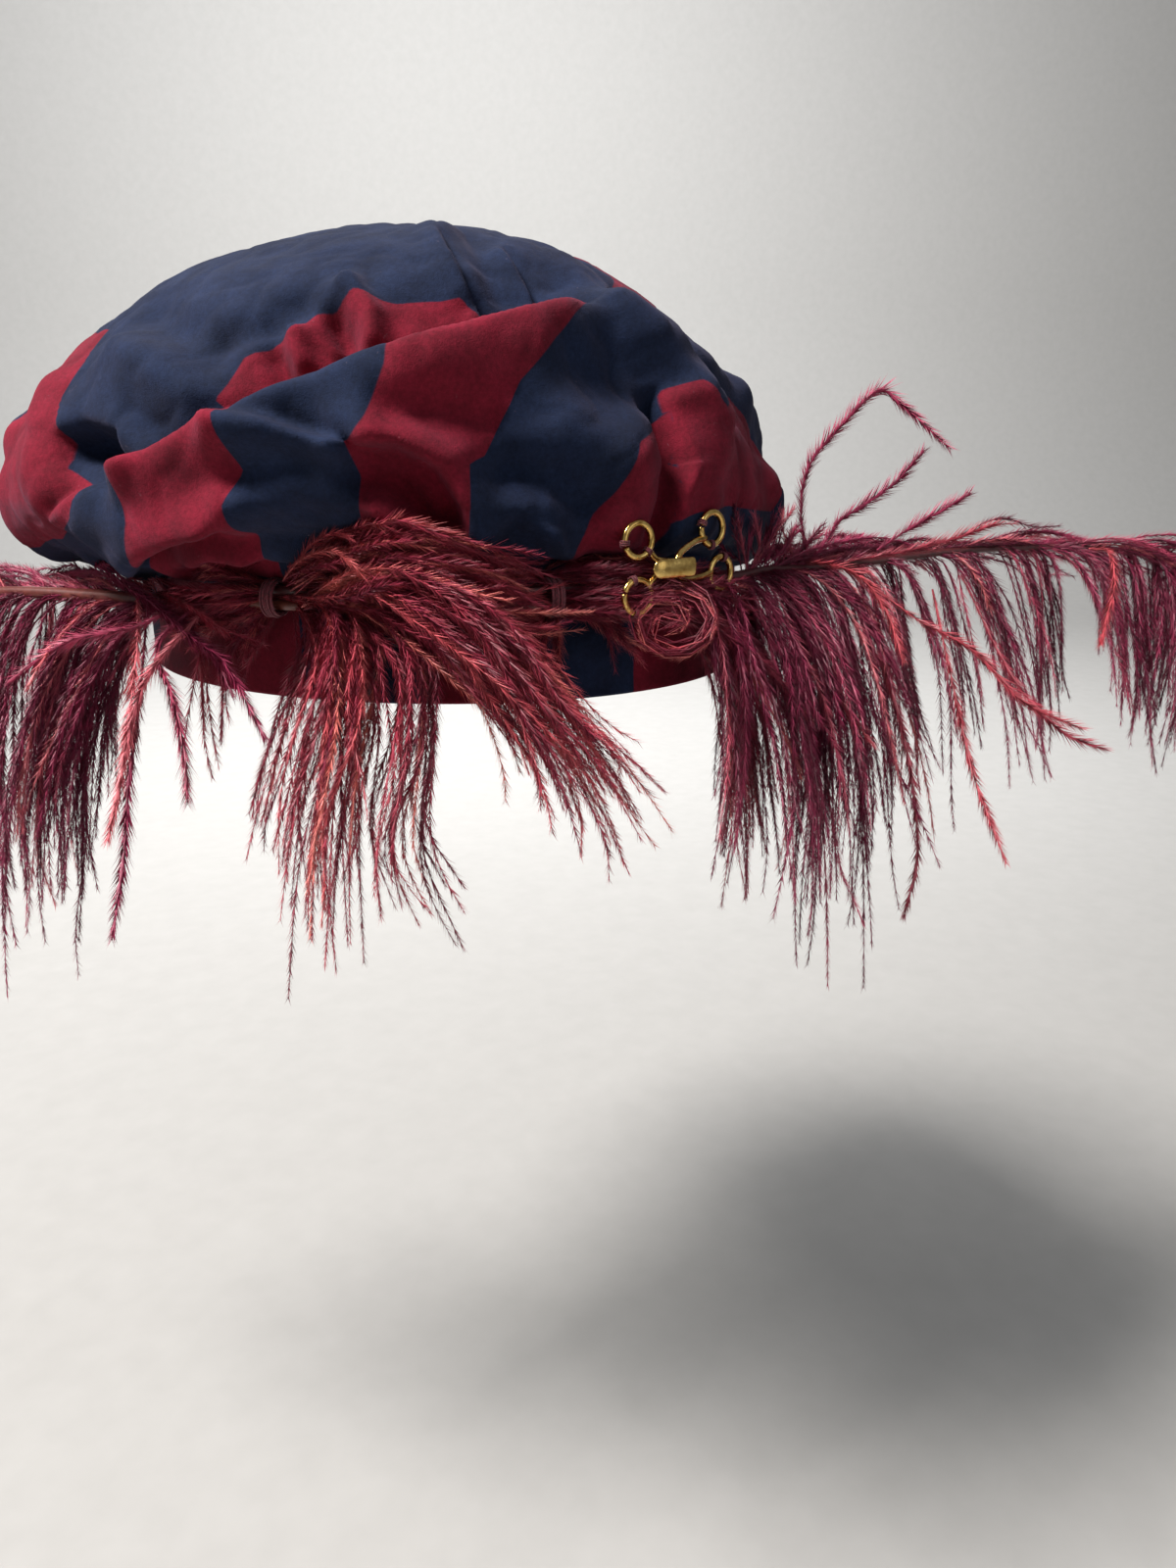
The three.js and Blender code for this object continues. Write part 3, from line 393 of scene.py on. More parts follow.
# Single barbs that stand up from the right plume, and others that lie over it, as points.
RAISED_BARBS = [
    ((40, -110, 31), (41, -106, 42), (49, -104, 57), (62, -109, 70), (75, -116, 80), (77, -122, 76),
     (80, -137, 63)),
    ((46, -112, 33), (52, -113, 41), (60, -118, 46), (71, -124, 53), (80, -129, 62)),
    ((58, -124, 33), (66, -129, 38), (77, -135, 43), (88, -142, 49)),
]
LOOSE_BARBS = [
    ((39, -121, 31), (55, -136, 34), (67, -145, 37), (76, -154, 41)),
    ((30, -108, 31), (30, -120, 31), (31, -129, 28), (29, -138, 19), (26, -145, 6)),
    ((33, -129, 27), (35, -146, 16), (41, -160, 8), (46, -174, -6), (55, -189, -14)),
    ((13, -96, 24), (7, -113, 11), (9, -129, 0), (12, -143, -16)),
    ((10, -92, 23), (5, -107, 15), (2, -117, 2), (2, -127, -8)),
    ((100, -177, 33), (97, -183, 33), (91, -187, 24), (87, -187, 16), (81, -187, 7)),
    ((45, -128, 23), (38, -136, 2), (36, -145, -23), (31, -152, -52), (26, -151, -70)),
    ((61, -141, 22), (54, -151, -3), (51, -161, -31), (50, -173, -56)),
    ((69, -147, 26), (69, -167, -6), (73, -181, -20), (80, -192, -25)),
]
# Barbs that cross over the left plume's others, as points.
CROSSING_BARBS = [
    ((-104, 33, 37), (-104, 21, 30), (-103, 8, 24), (-103, -3, 18), (-102, -13, 13), (-102, -19, 6),
     (-102, -27, -6)),
    ((-104, 30, 37), (-104, 20, 31), (-102, 10, 25), (-101, -1, 19), (-101, -10, 12), (-101, -15, 4)),
    ((-100, 20, 26), (-106, 13, 18), (-111, 10, 7), (-116, 8, -7), (-121, 8, -22), (-125, 8, -32)),
    ((-99, -8, 26), (-106, 1, 15), (-111, 5, 7), (-115, 7, -3), (-117, 8, -11)),
    ((-100, 4, 24), (-107, 14, 19), (-113, 28, 16), (-116, 39, 11), (-121, 48, 4)),
    ((-100, 16, 24), (-112, 9, -4), (-118, 7, -19), (-123, 5, -36), (-130, 4, -57)),
    ((-99, -4, 26), (-106, 6, 15), (-109, -2, 3), (-111, -7, -10), (-113, -9, -23)),
]
# Barbs wound in a flat coil under the clasp, as points.
COILS = [
    ((-38, -92, 30), (-39, -99, 32), (-36, -108, 31), (-37, -117, 26), (-41, -118, 18), (-46, -111, 14),
     (-50, -104, 19), (-49, -103, 25), (-45, -108, 28), (-42, -113, 25), (-44, -112, 21),
     (-46, -109, 20)),
    ((-40, -95, 28), (-39, -104, 30), (-37, -113, 28), (-39, -118, 22), (-43, -113, 17), (-47, -106, 18),
     (-47, -105, 23), (-44, -108, 25), (-43, -111, 23)),
]

# Name, place, bearing and reach of the two thread ties.
TIES = [
    ("tie_side", (-91.5, -22.8, 27.5), -76, 4.2),
    ("tie_front", (-59.3, -84.7, 28.5), -34.5, 4.05),
]
# Length of a tie along the quill, its turns of thread and the thread's radius.
TIE_LENGTH = 3.4
TIE_TURNS = 15
TIE_THREAD = 0.26

# The clasp's pieces: the point between each pair of rings, the bearing that the pair faces, its
# turn about that direction and how far each ring is from the point.
HOOK = ((-45.8, -100.6, 35.1), -22, 0, 6.8)
EYE = ((-19.3, -108.3, 37.8), -14, 18, 6)
HOOK_WIRE = [
    (3.2, 4.4, 0),
    (5.6, 2, 0),
    (12.4, 1.1, 0),
    (14.6, 1.1, 1.2),
    (14.6, 1.1, 3.2),
    (12.4, 1.1, 4.3),
]
EYE_WIRE = [
    (-3.2, 4.6, 0),
    (-9, 5.8, 1.2),
    (-16.2, 5, 2.4),
    (-17.8, 2.5, 2.6),
    (-17, 0, 2.5),
    (-9, -3.4, 1.2),
    (-3.2, -4.4, 0),
]

# Where thread holds a ring: the clasp piece, the ring's side and the angles round it.
STITCHES = [
    (HOOK, 1, (188, 318)),
    (HOOK, -1, (110, 262)),
    (EYE, 1, (140, 250)),
    (EYE, -1, (60, 290)),
]
# Turns of thread in a stitch, how far they spread round the ring and the thread's radius.
STITCH_TURNS = 3
STITCH_SPREAD = 0.3
STITCH_THREAD = 0.2

NAVY = (0.0078, 0.0138, 0.036)
BURGUNDY = (0.135, 0.006, 0.0165)
LINT = (0.3, 0.22, 0.26)
# Colours of the dyed barbs from the darkest to the brightest, and where each stands. The coral ramp's
# bright end is partly painted highlight, the coral of the lit front bundle.
CORAL_DYE_WITH_PAINTED_HIGHLIGHTS = [
    (0, (0.06, 0.004, 0.012)),
    (0.35, (0.15, 0.01, 0.028)),
    (0.65, (0.29, 0.026, 0.05)),
    (0.88, (0.47, 0.07, 0.085)),
    (1, (0.7, 0.2, 0.17)),
]
# The plum ramp is a darker, bluer copy of the coral one: the barbs' dye with painted shade, for the side
# plumes.
PLUM_DYE_WITH_PAINTED_SHADE = [
    (0, (0.05, 0.003, 0.013)),
    (0.35, (0.135, 0.009, 0.034)),
    (0.65, (0.26, 0.022, 0.068)),
    (0.88, (0.41, 0.058, 0.108)),
    (1, (0.58, 0.14, 0.155)),
]
GOLD = [(0.3, (0.5, 0.27, 0.06)), (0.62, (0.88, 0.6, 0.2))]
WINE = [(0.35, (0.07, 0.006, 0.014)), (0.7, (0.24, 0.03, 0.05))]
PALE = [(0, (0.4, 0.395, 0.385)), (1, (0.45, 0.445, 0.435))]

# Barbs that follow the band, a row for each piece: its guides with how thick a lock is and how far
# its strands part, and then its tones: the lowest, the highest and the share of bright ones, which take
# the ramp's painted-highlight end.
GUIDED_PIECES = [
    ("barbs_front_over", ((FRONT_OVER, 1.9, 0.04), (FRONT_TANGLE, 3.0, 0.09)), (0.3, 0.75, 0.4)),
    ("barbs_front_fall", ((FRONT_FALL, 2.2, 0.05),), (0.3, 0.75, 0.4)),
    ("barbs_front_hang", ((FRONT_HANG, 2.2, 0.05),), (0.25, 0.7, 0.2)),
    ("barbs_front_end", ((FRONT_END + TIE_TUFTS, 1.4, 0.07),), (0.3, 0.7, 0.25)),
    ("barbs_clasp", ((CLASP_BARBS, 1.4, 0.04),), (0.2, 0.6, 0.15)),
]
# Barbs that leave a quill: the fans, each with its locks and the barbs in a lock, and then as above.
FANNED_PIECES = [
    ("barbs_right_root", RIGHT_QUILL, ((RIGHT_ROOT, 14, 7, 2.6, 0.08),), (0.2, 0.65, 0.2)),
    ("barbs_right_fall", RIGHT_QUILL, ((RIGHT_FALL, 48, 7, 2.2, 0.06),), (0.15, 0.65, 0.2)),
    ("barbs_right_swept", RIGHT_QUILL, ((RIGHT_SWEPT, 24, 6, 2.0, 0.04), (RIGHT_RAISED, 9, 4, 1.8, 0.14)),
     (0.2, 0.75, 0.35)),
    ("barbs_left_root", LEFT_QUILL, ((LEFT_ROOT, 22, 7, 2.4, 0.06),), (0.2, 0.65, 0.15)),
    ("barbs_left_fall", LEFT_QUILL, ((LEFT_FALL, 18, 6, 2.2, 0.05),), (0.2, 0.6, 0.15)),
    ("barbs_left_swept", LEFT_QUILL, ((LEFT_SWEPT, 22, 6, 1.8, 0.05),), (0.25, 0.75, 0.35)),
]
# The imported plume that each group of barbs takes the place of, by the second word of its name.
PLUME_OF = {
    "front": "plume_front",
    "clasp": "plume_front",
    "right": "plume_right",
    "left": "plume_left",
    "loose": "plume_right",
}

# The camera's place beside the hat, how far it looks down, the direction to the hat's middle and
# the angle that the photo's middle is to the right of that.
CAMERA_PLACE = (-296.2, -248.5, 64.7)
CAMERA_PITCH = 16.2
CAMERA_BEARING = -50
CAMERA_TURN = 7.03
CAMERA_LENS = 27
CAMERA_SENSOR = 36

# The backdrop in metres: the floor's level and nearest edge, where it starts to bend up, the bend's
# radius, the wall's top and half the whole width.
FLOOR_LEVEL = -0.34
FLOOR_START = -12.0
BEND_START = 2.2
BEND_RADIUS = 0.8
WALL_TOP = 5.0
STAGE_HALF = 12.0


def outward(bearing):
    """Unit vectors, level and away from the hat's axis, at bearings in degrees."""
    turn = np.radians(bearing)
    return np.stack([np.sin(turn), -np.cos(turn), np.zeros_like(turn)], -1)


def band_reach(bearing):
    turn = np.radians(bearing)
    return 1 / np.sqrt((np.sin(turn) / BAND_HALF_WIDTH) ** 2 + (np.cos(turn) / BAND_HALF_LENGTH) ** 2)


def crown_value(bearing, column):
    """A value of the crown's table at bearings, by a smooth curve through the rows."""
    rows = np.array(CROWN_SECTIONS, float)
    places = np.concatenate([rows[:, 0] - 360, rows[:, 0], rows[:, 0] + 360])
    values = np.tile(rows[:, column], 3)
    wrapped = (np.asarray(bearing, float) + 180) % 360 - 180
    index = np.searchsorted(places, wrapped, side="right") - 1
    span = places[index + 1] - places[index]
    t = (wrapped - places[index]) / span
    start_slope = (values[index + 1] - values[index - 1]) / (places[index + 1] - places[index - 1]) * span
    end_slope = (values[index + 2] - values[index]) / (places[index + 2] - places[index]) * span
    cubic = 2 * t**3 - 3 * t**2 + 1
    return (
        cubic * values[index]
        + (t**3 - 2 * t**2 + t) * start_slope
        + (1 - cubic) * values[index + 1]
        + (t**3 - t**2) * end_slope
    )


def crown_base(bearing, climb):
    """The crown's smooth outer face before its folds."""
    bearing, climb = np.broadcast_arrays(np.asarray(bearing, float), np.asarray(climb, float))
    foot = BAND_HEIGHT + PIECE_GAP
    reach = crown_value(bearing, REACH)
    belly = crown_value(bearing, BELLY_HEIGHT)
    rim = band_reach(bearing)
    under = np.clip(climb / BELLY_CLIMB, 0, 1) * math.pi / 2
    over = np.clip((climb - BELLY_CLIMB) / (1 - BELLY_CLIMB), 0, 1) * math.pi / 2
    half = math.log(math.sqrt(0.5))
    inward = np.log(crown_value(bearing, SHOULDER_REACH) / reach) / half
    upward = np.log((crown_value(bearing, SHOULDER_HEIGHT) - belly) / (CROWN_POLE[2] - belly)) / half
    low = climb < BELLY_CLIMB
    radius = np.where(
        low,
        rim + (reach - rim) * np.sin(under),
        reach * np.maximum(np.cos(over), 0) ** inward,
    )
    height = np.where(
        low,
        foot + (belly - foot) * (1 - np.cos(under)),
        belly + (CROWN_POLE[2] - belly) * np.sin(over) ** upward,
    )
    lean = climb**1.5
    point = outward(bearing) * radius[..., None]
    return point + np.stack([CROWN_POLE[0] * lean, CROWN_POLE[1] * lean, height], -1)


def crown_normal(bearing, climb):
    step = 0.004
    low = np.maximum(climb - step, 0)
    high = np.minimum(climb + step, 0.995)
    across = crown_base(bearing + 0.4, climb) - crown_base(bearing - 0.4, climb)
    rise = crown_base(bearing, high) - crown_base(bearing, low)
    normal = np.cross(across, rise)
    return normal / np.linalg.norm(normal, axis=-1, keepdims=True)


def line_on_crown(places, parts):
    """Points on the smooth crown along a line of bearings and climbs."""
    rows = np.array(places, float)
    steps = np.linspace(0, len(rows) - 1, (len(rows) - 1) * parts + 1)
    index = np.minimum(steps.astype(int), len(rows) - 2)
    mix = (steps - index)[:, None]
    flat = rows[index] * (1 - mix) + rows[index + 1] * mix
    return crown_base(flat[:, 0], flat[:, 1])


def nearest_on_line(points, line):
    """Distance to a line, the share of its length at the nearest place and its direction there."""
    least = np.full(len(points), np.inf)
    share = np.zeros(len(points))
    heading = np.zeros_like(points)
    offset = np.zeros_like(points)
    lengths = np.linalg.norm(np.diff(line, axis=0), axis=1)
    before = np.concatenate([[0], np.cumsum(lengths)]) / lengths.sum()
    for i, length in enumerate(lengths):
        along = (line[i + 1] - line[i]) / length
        reach = np.clip((points - line[i]) @ along, 0, length)
        apart = points - (line[i] + reach[:, None] * along)
        distance = np.linalg.norm(apart, axis=1)
        closer = distance < least
        least[closer] = distance[closer]
        share[closer] = before[i] + reach[closer] / lengths.sum()
        heading[closer] = along
        offset[closer] = apart[closer]
    return least, share, heading, offset


def smooth_step(value):
    value = np.clip(value, 0, 1)
    return value * value * (3 - 2 * value)


def crumple(points, size, seed):
    """Smooth noise from -1 to 1 at points in millimetres, with lumps of about that size."""
    shift = Vector((seed * 3.1, seed * 1.7, seed * 2.3))
    return np.array([noise.noise(Vector(p) / size + shift) for p in points])


def fold_depth(bearing, climb):
    """How deep the folds are, which is more above the band on the side that shows."""
    from_back = smooth_step((bearing - FRONT_BEARINGS[0]) / FRONT_FADE)
    front = from_back * smooth_step((FRONT_BEARINGS[1] - bearing) / FRONT_FADE)
    return 1 + FRONT_DEPTH * front * smooth_step((climb - 0.12) / 0.12)


def add_folds(rise, base, deep):
    """Adds the rolls and creases to the rise of points of the smooth crown."""
    for height, half, *places in FOLDS:
        least = nearest_on_line(base, line_on_crown(places, 3))[0]
        rise += height * deep * np.exp(-((least / half) ** 2))


def add_laps(rise, shift, base, normal, deep):
    """Adds the laps to the rise of points of the smooth crown, and their lean to the shift."""
    for height, drop, lap_half, low_half, lean, *places in LAPS:
        least, share, heading, offset = nearest_on_line(base, line_on_crown(places, 3))
        left = np.cross(normal, heading)
        side = np.tanh(np.einsum("ij,ij->i", left, offset) / LAP_EDGE)
        ends = smooth_step(share / 0.14) * smooth_step((1 - share) / 0.14)
        on_lap = (1 + side) / 2 * np.exp(-((least / lap_half) ** 2)) * ends
        beside = (1 - side) / 2 * np.exp(-((least / low_half) ** 2)) * ends
        rise += (height * on_lap - drop * beside) * (0.85 + 0.3 * deep)
        shift -= left * (lean * on_lap)[:, None]


def add_gathers(rise, bearing, climb):
    """Adds the small folds that the band gathers, which fade as they go up."""
    turn = np.radians(bearing)
    gathers = np.cos(GATHER_COUNT * turn) + 0.6 * np.cos(31 * turn + 1.3) + 0.4 * np.cos(47 * turn + 0.4)
    rise += GATHER_RISE * gathers * np.maximum(1 - climb / 0.25, 0)


def add_wrinkles(rise, base):
    """Adds soft lumps and the fine valleys between them."""
    rise += 0.9 * crumple(base, 21, 1) + 0.35 * crumple(base * (1, 1, 1.6), 7, 2)
    for size, depth, seed in ((30, 0.7, 3), (12, 0.5, 4)):
        rise -= depth * (1 - np.minimum(np.abs(crumple(base, size, seed)) * 3.2, 1)) ** 2


def folded_crown(bearing, climb):
    """The cloth's places after their shift, its normals and its rise along them, on a grid."""
    shape = bearing.shape
    base = crown_base(bearing, climb).reshape(-1, 3)
    normal = crown_normal(bearing, climb).reshape(-1, 3)
    flat_bearing = bearing.ravel()
    flat_climb = climb.ravel()
    deep = fold_depth(flat_bearing, flat_climb)
    rise = np.zeros(len(base))
    shift = np.zeros_like(base)
    add_folds(rise, base, deep)
    add_laps(rise, shift, base, normal, deep)
    add_gathers(rise, flat_bearing, flat_climb)
    add_wrinkles(rise, base)
    held = np.minimum(flat_climb / 0.08, 1) * np.minimum((1 - flat_climb) / 0.1, 1)
    moved = base + shift * held[:, None]
    return moved.reshape(*shape, 3), normal.reshape(*shape, 3), (rise * held).reshape(shape)


def inside_outline(bearing, climb, outline):
    """True where a bearing and climb are inside a closed outline, which may pass 180 degrees."""
    middle = sum(corner[0] for corner in outline) / len(outline)
    x = (bearing - middle + 180) % 360 - 180 + middle
    inside = np.zeros(bearing.shape, bool)
    for (x0, y0), (x1, y1) in zip(outline, outline[1:] + outline[:1]):
        crosses = (y0 > climb) != (y1 > climb)
        slope = (x1 - x0) / (y1 - y0) if y1 != y0 else 0
        inside ^= crosses & (x < x0 + (climb - y0) * slope)
    return inside


def square_side(bearing, climb):
    """Distance to the nearest seam in millimetres, below 0 inside a burgundy square."""
    base = crown_base(bearing, climb)
    least = np.full(len(base), np.inf)
    burgundy = np.zeros(len(base), bool)
    for outline in BURGUNDY_SQUARES:
        seam = line_on_crown(outline + outline[:1], 4)
        centre = seam.mean(0)
        size = np.linalg.norm(seam - centre, axis=1).max()
        near = np.linalg.norm(base - centre, axis=1) < size + SEAM_REACH
        least[near] = np.minimum(least[near], nearest_on_line(base[near], seam)[0])
        burgundy |= inside_outline(bearing, climb, outline)
    return np.where(burgundy, -1, 1) * np.minimum(least, SEAM_REACH)


def add_object(name, data):
    """A new object at the origin of the scene."""
    made = bpy.data.objects.new(name, data)
    bpy.context.scene.collection.objects.link(made)
    return made


def set_values(mesh, attributes):
    """Named values on a mesh's points."""
    for label, values in attributes.items():
        layer = mesh.attributes.new(label, "FLOAT", "POINT")
        layer.data.foreach_set("value", np.asarray(values, np.float32).ravel())


def mesh_piece(name, points, faces, attributes=None):
    """A smooth object from points in millimetres, with attributes on its points."""
    mesh = bpy.data.meshes.new(name)
    mesh.from_pydata((np.asarray(points) * MM).tolist(), [], faces)
    set_values(mesh, attributes or {})
    mesh.validate()
    mesh.polygons.foreach_set("use_smooth", [True] * len(mesh.polygons))
    return add_object(name, mesh)


def ring_faces(rows, columns, closed_rows=False):
    """Faces between rings of points laid row after row, facing out where rows go up."""
    faces = []
    for row in range(rows if closed_rows else rows - 1):
        low = row * columns
        high = ((row + 1) % rows) * columns
        for column in range(columns):
            beside = (column + 1) % columns
            faces.append((low + column, low + beside, high + beside, high + column))
    return faces


def crown_face(bearings, climbs, depth):
    """A face of the cloth at a depth under its outside, with its distances to the seams."""
    grid_bearing, grid_climb = np.meshgrid(bearings, climbs)
    place, normal, rise = folded_crown(grid_bearing, grid_climb)
    side = square_side(grid_bearing.ravel(), grid_climb.ravel()).reshape(grid_climb.shape)
    seam = np.exp(-((side / SEAM_HALF) ** 2)) * np.minimum(grid_climb / 0.05, 1)
    return place + normal * (rise - SEAM_DEPTH * seam - depth)[..., None], side


def make_crown():
    """The puffed cloth: an outer face with folds and seams, and an inner face 2 mm below it."""
    fine_bearings = np.arange(-134, 30, 0.62)
    plain_bearings = np.arange(30, 226, 1.4)
    bearings = np.concatenate([fine_bearings, plain_bearings])
    outer_climbs = np.concatenate([np.linspace(0, 0.72, 116), np.linspace(0.74, 0.985, 26)])
    inner_climbs = np.linspace(0, 0.985, 44)
    inner, inner_side = crown_face(bearings, inner_climbs, CLOTH)
    inner[0] = outward(bearings) * (band_reach(bearings) - CLOTH)[:, None]
    inner[0, :, 2] = BAND_HEIGHT + PIECE_GAP
    outer, outer_side = crown_face(bearings, outer_climbs, 0)
    poles = np.array([crown_base(0, 1)] * 2)
    poles[0, 2] -= CLOTH
    points = np.concatenate([inner[::-1].reshape(-1, 3), outer.reshape(-1, 3), poles])
    sides = np.concatenate([inner_side[::-1].ravel(), outer_side.ravel(), [SEAM_REACH, SEAM_REACH]])
    rows = len(inner) + len(outer)
    columns = len(bearings)
    faces = ring_faces(rows, columns)
    under = rows * columns
    over = under + 1
    last = (rows - 1) * columns
    for column in range(columns):
        beside = (column + 1) % columns
        faces.append((under, beside, column))
        faces.append((last + column, last + beside, over))
    return mesh_piece("crown_cloth", points, faces, {"seam": sides})


def band_profile():
    """The wall's section as distances out from its middle and heights, with rolled edges."""
    half = CLOTH / 2
    roll = [(half * math.sin(a), half * (1 - math.cos(a))) for a in np.radians(np.linspace(0, 90, 5))]
    heights = np.linspace(2.4, BAND_HEIGHT - 2.4, 16)
    profile = list(roll)
    profile += [(half, height) for height in heights]
    profile += [(out, BAND_HEIGHT - height) for out, height in reversed(roll)]
    profile += [(-out, BAND_HEIGHT - height) for out, height in roll[1:]]
    profile += [(-half, height) for height in heights[::-1]]
    profile += [(-out, height) for out, height in reversed(roll[1:])]
    return profile


def band_side(bearings):
    """Distance to the band's nearest seam in millimetres, below 0 on a burgundy square."""
    seams = np.array(BAND_SEAMS + [BAND_SEAMS[0] + 360])
    wrapped = (bearings - seams[0]) % 360 + seams[0]
    index = np.searchsorted(seams[:-1], wrapped, side="right") - 1
    millimetres_a_degree = 1.57
    away = np.minimum(wrapped - seams[index], seams[index + 1] - wrapped) * millimetres_a_degree
    return np.where(index % 2 == 0, -away, away)


def make_headband():
    """The upright band: one closed cloth wall with soft rolled edges."""
    bearings = np.arange(-180, 180, 0.9)
    profile = band_profile()
    side = band_side(bearings)
    seam = np.exp(-((side / SEAM_HALF) ** 2))
    points = []
    for across, height in profile:
        reach = band_reach(bearings) - CLOTH / 2 + across
        ring = outward(bearings) * reach[:, None]
        ring[:, 2] = height
        bulge = 0.35 * crumple(ring, 17, 5) + 0.2 * crumple(ring * (1, 1, 2), 6, 6)
        outside = across > 0
        held = np.clip(min(height, BAND_HEIGHT - height) / 3, 0, 1) * outside
        ring += outward(bearings) * ((bulge - 0.2) * held - 0.25 * seam * outside)[:, None]
        points.append(ring)
    faces = ring_faces(len(profile), len(bearings), closed_rows=True)
    sides = np.tile(side, len(profile))
    return mesh_piece("headband_cloth", np.concatenate(points), faces, {"seam": sides})


def add_node(tree, kind, inputs=None, **settings):
    """A node with settings, and inputs that are values or other nodes' outputs."""
    made = tree.nodes.new(kind)
    for name, value in settings.items():
        setattr(made, name, value)
    for name, value in (inputs or {}).items():
        socket = made.inputs[name]
        if isinstance(value, bpy.types.NodeSocket):
            tree.links.new(value, socket)
        else:
            socket.default_value = value
    return made


def new_material(name, **values):
    """A material with its Principled shader's own sockets set to constants."""
    material = bpy.data.materials.new(name)
    material.use_nodes = True
    shader = material.node_tree.nodes["Principled BSDF"]
    for label, value in values.items():
        shader.inputs[label.replace("_", " ")].default_value = value
    return material, material.node_tree, shader


def multiply(tree, colour, factor):
    """A colour times a grey factor."""
    made = add_node(tree, "ShaderNodeVectorMath", {0: colour, "Scale": factor}, operation="SCALE")
    return made.outputs["Vector"]


def spread(tree, value, low, high, least=0.3, most=0.7):
    """A value from least to most, which is how far noise goes, stretched between two numbers."""
    limits = {"From Min": least, "From Max": most, "To Min": low, "To Max": high}
    return add_node(tree, "ShaderNodeMapRange", {"Value": value, **limits}).outputs["Result"]


def speckle(tree, scale, detail=2, **inputs):
    """Noise over the object's own place in metres."""
    place = add_node(tree, "ShaderNodeTexCoord").outputs["Object"]
    values = {"Vector": place, "Scale": scale, "Detail": detail, **inputs}
    return add_node(tree, "ShaderNodeTexNoise", values).outputs["Fac"]


def point_value(tree, name):
    """A value that the mesh's points carry."""
    return add_node(tree, "ShaderNodeAttribute", attribute_name=name).outputs["Fac"]


def mixed(tree, share, first, second):
    """A colour that goes from the first to the second as a share goes from 0 to 1."""
    made = add_node(tree, "ShaderNodeMix", {"Factor": share, 6: first, 7: second}, data_type="RGBA")
    return made.outputs[2]


def shaded(tree, value, stops):
    """A colour that a value picks from stops, each a position and a colour."""
    ramp = add_node(tree, "ShaderNodeValToRGB", {"Fac": value})
    elements = ramp.color_ramp.elements
    for _ in stops[2:]:
        elements.new(0.5)
    for element, (position, colour) in zip(elements, stops):
        element.position = position
        element.color = (*colour, 1)
    return ramp.outputs["Color"]


def add_bump(tree, shader, height, strength, distance=0.0002):
    bump = add_node(tree, "ShaderNodeBump", {"Height": height, "Strength": strength, "Distance": distance})
    tree.links.new(bump.outputs["Normal"], shader.inputs["Normal"])


def cloth_material():
    """Brushed cotton in navy and burgundy squares, with nap, lint and seams."""
    material, tree, shader = new_material(
        "brushed_check_cotton",
        Roughness=0.9,
        Sheen_Weight=0.06,
        Sheen_Roughness=0.5,
        Sheen_Tint=(0.6, 0.5, 0.75, 1),
        Specular_IOR_Level=0.15,
    )
    side = spread(tree, point_value(tree, "seam"), 0, 1, -0.15, 0.15)
    colour = mixed(tree, side, (*BURGUNDY, 1), (*NAVY, 1))
    cloud = speckle(tree, 75, 4, Roughness=0.6)
    nap = speckle(tree, 900, 3, Roughness=0.7)
    colour = multiply(tree, colour, spread(tree, cloud, 0.68, 1.4))
    colour = multiply(tree, colour, spread(tree, nap, 0.76, 1.26))
    lint = spread(tree, speckle(tree, 420, Distortion=1.5), 0, 0.3, 0.74, 0.84)
    tree.links.new(mixed(tree, lint, colour, (*LINT, 1)), shader.inputs["Base Color"])
    height = add_node(tree, "ShaderNodeMath", {0: nap, 1: speckle(tree, 3200)}, operation="ADD")
    add_bump(tree, shader, height.outputs[0], 0.35, 0.0004)
    return material


def barb_material(name, dye_and_painted_light):
    """Dyed barbs with painted light: each has its own tone from a ramp whose bright end is painted
    highlight, with streaks, and is a little paler at its tip.
    """
    material, tree, shader = new_material(
        name, Roughness=0.5, Sheen_Weight=0.05, Sheen_Roughness=0.3, Specular_IOR_Level=0.35
    )
    colour = shaded(tree, point_value(tree, "tone"), dye_and_painted_light)
    colour = multiply(tree, colour, spread(tree, speckle(tree, 260), 0.7, 1.3))
    colour = multiply(tree, colour, spread(tree, point_value(tree, "share"), 0.85, 1.2, 0, 1))
    tree.links.new(colour, shader.inputs["Base Color"])
    return material


def quill_material(name, root_colour, tip_colour):
    """A glossy quill that changes colour towards its tip, with fine long streaks."""
    material, tree, shader = new_material(name, Roughness=0.36, Coat_Weight=0.15, Coat_Roughness=0.25)
    colour = mixed(tree, point_value(tree, "share"), (*root_colour, 1), (*tip_colour, 1))
    streak = speckle(tree, 700, 3)
    colour = multiply(tree, colour, spread(tree, streak, 0.75, 1.3))
    tree.links.new(colour, shader.inputs["Base Color"])
    add_bump(tree, shader, streak, 0.2)
    return material


def gold_material():
    """Polished gold-coloured wire with faint draw marks and duller spots."""
    material, tree, shader = new_material("gold_wire", Metallic=1.0)
    spots = speckle(tree, 480, 4, Roughness=0.65)
    tree.links.new(shaded(tree, spots, GOLD), shader.inputs["Base Color"])
    tree.links.new(spread(tree, spots, 0.12, 0.3), shader.inputs["Roughness"])
    add_bump(tree, shader, spots, 0.15)
    return material


def thread_material():
    """Dark wine sewing thread with its twist."""
    material, tree, shader = new_material("wine_thread", Roughness=0.6, Sheen_Weight=0.2)
    twist = speckle(tree, 2600)
    tree.links.new(shaded(tree, twist, WINE), shader.inputs["Base Color"])
    add_bump(tree, shader, twist, 0.4)
    return material


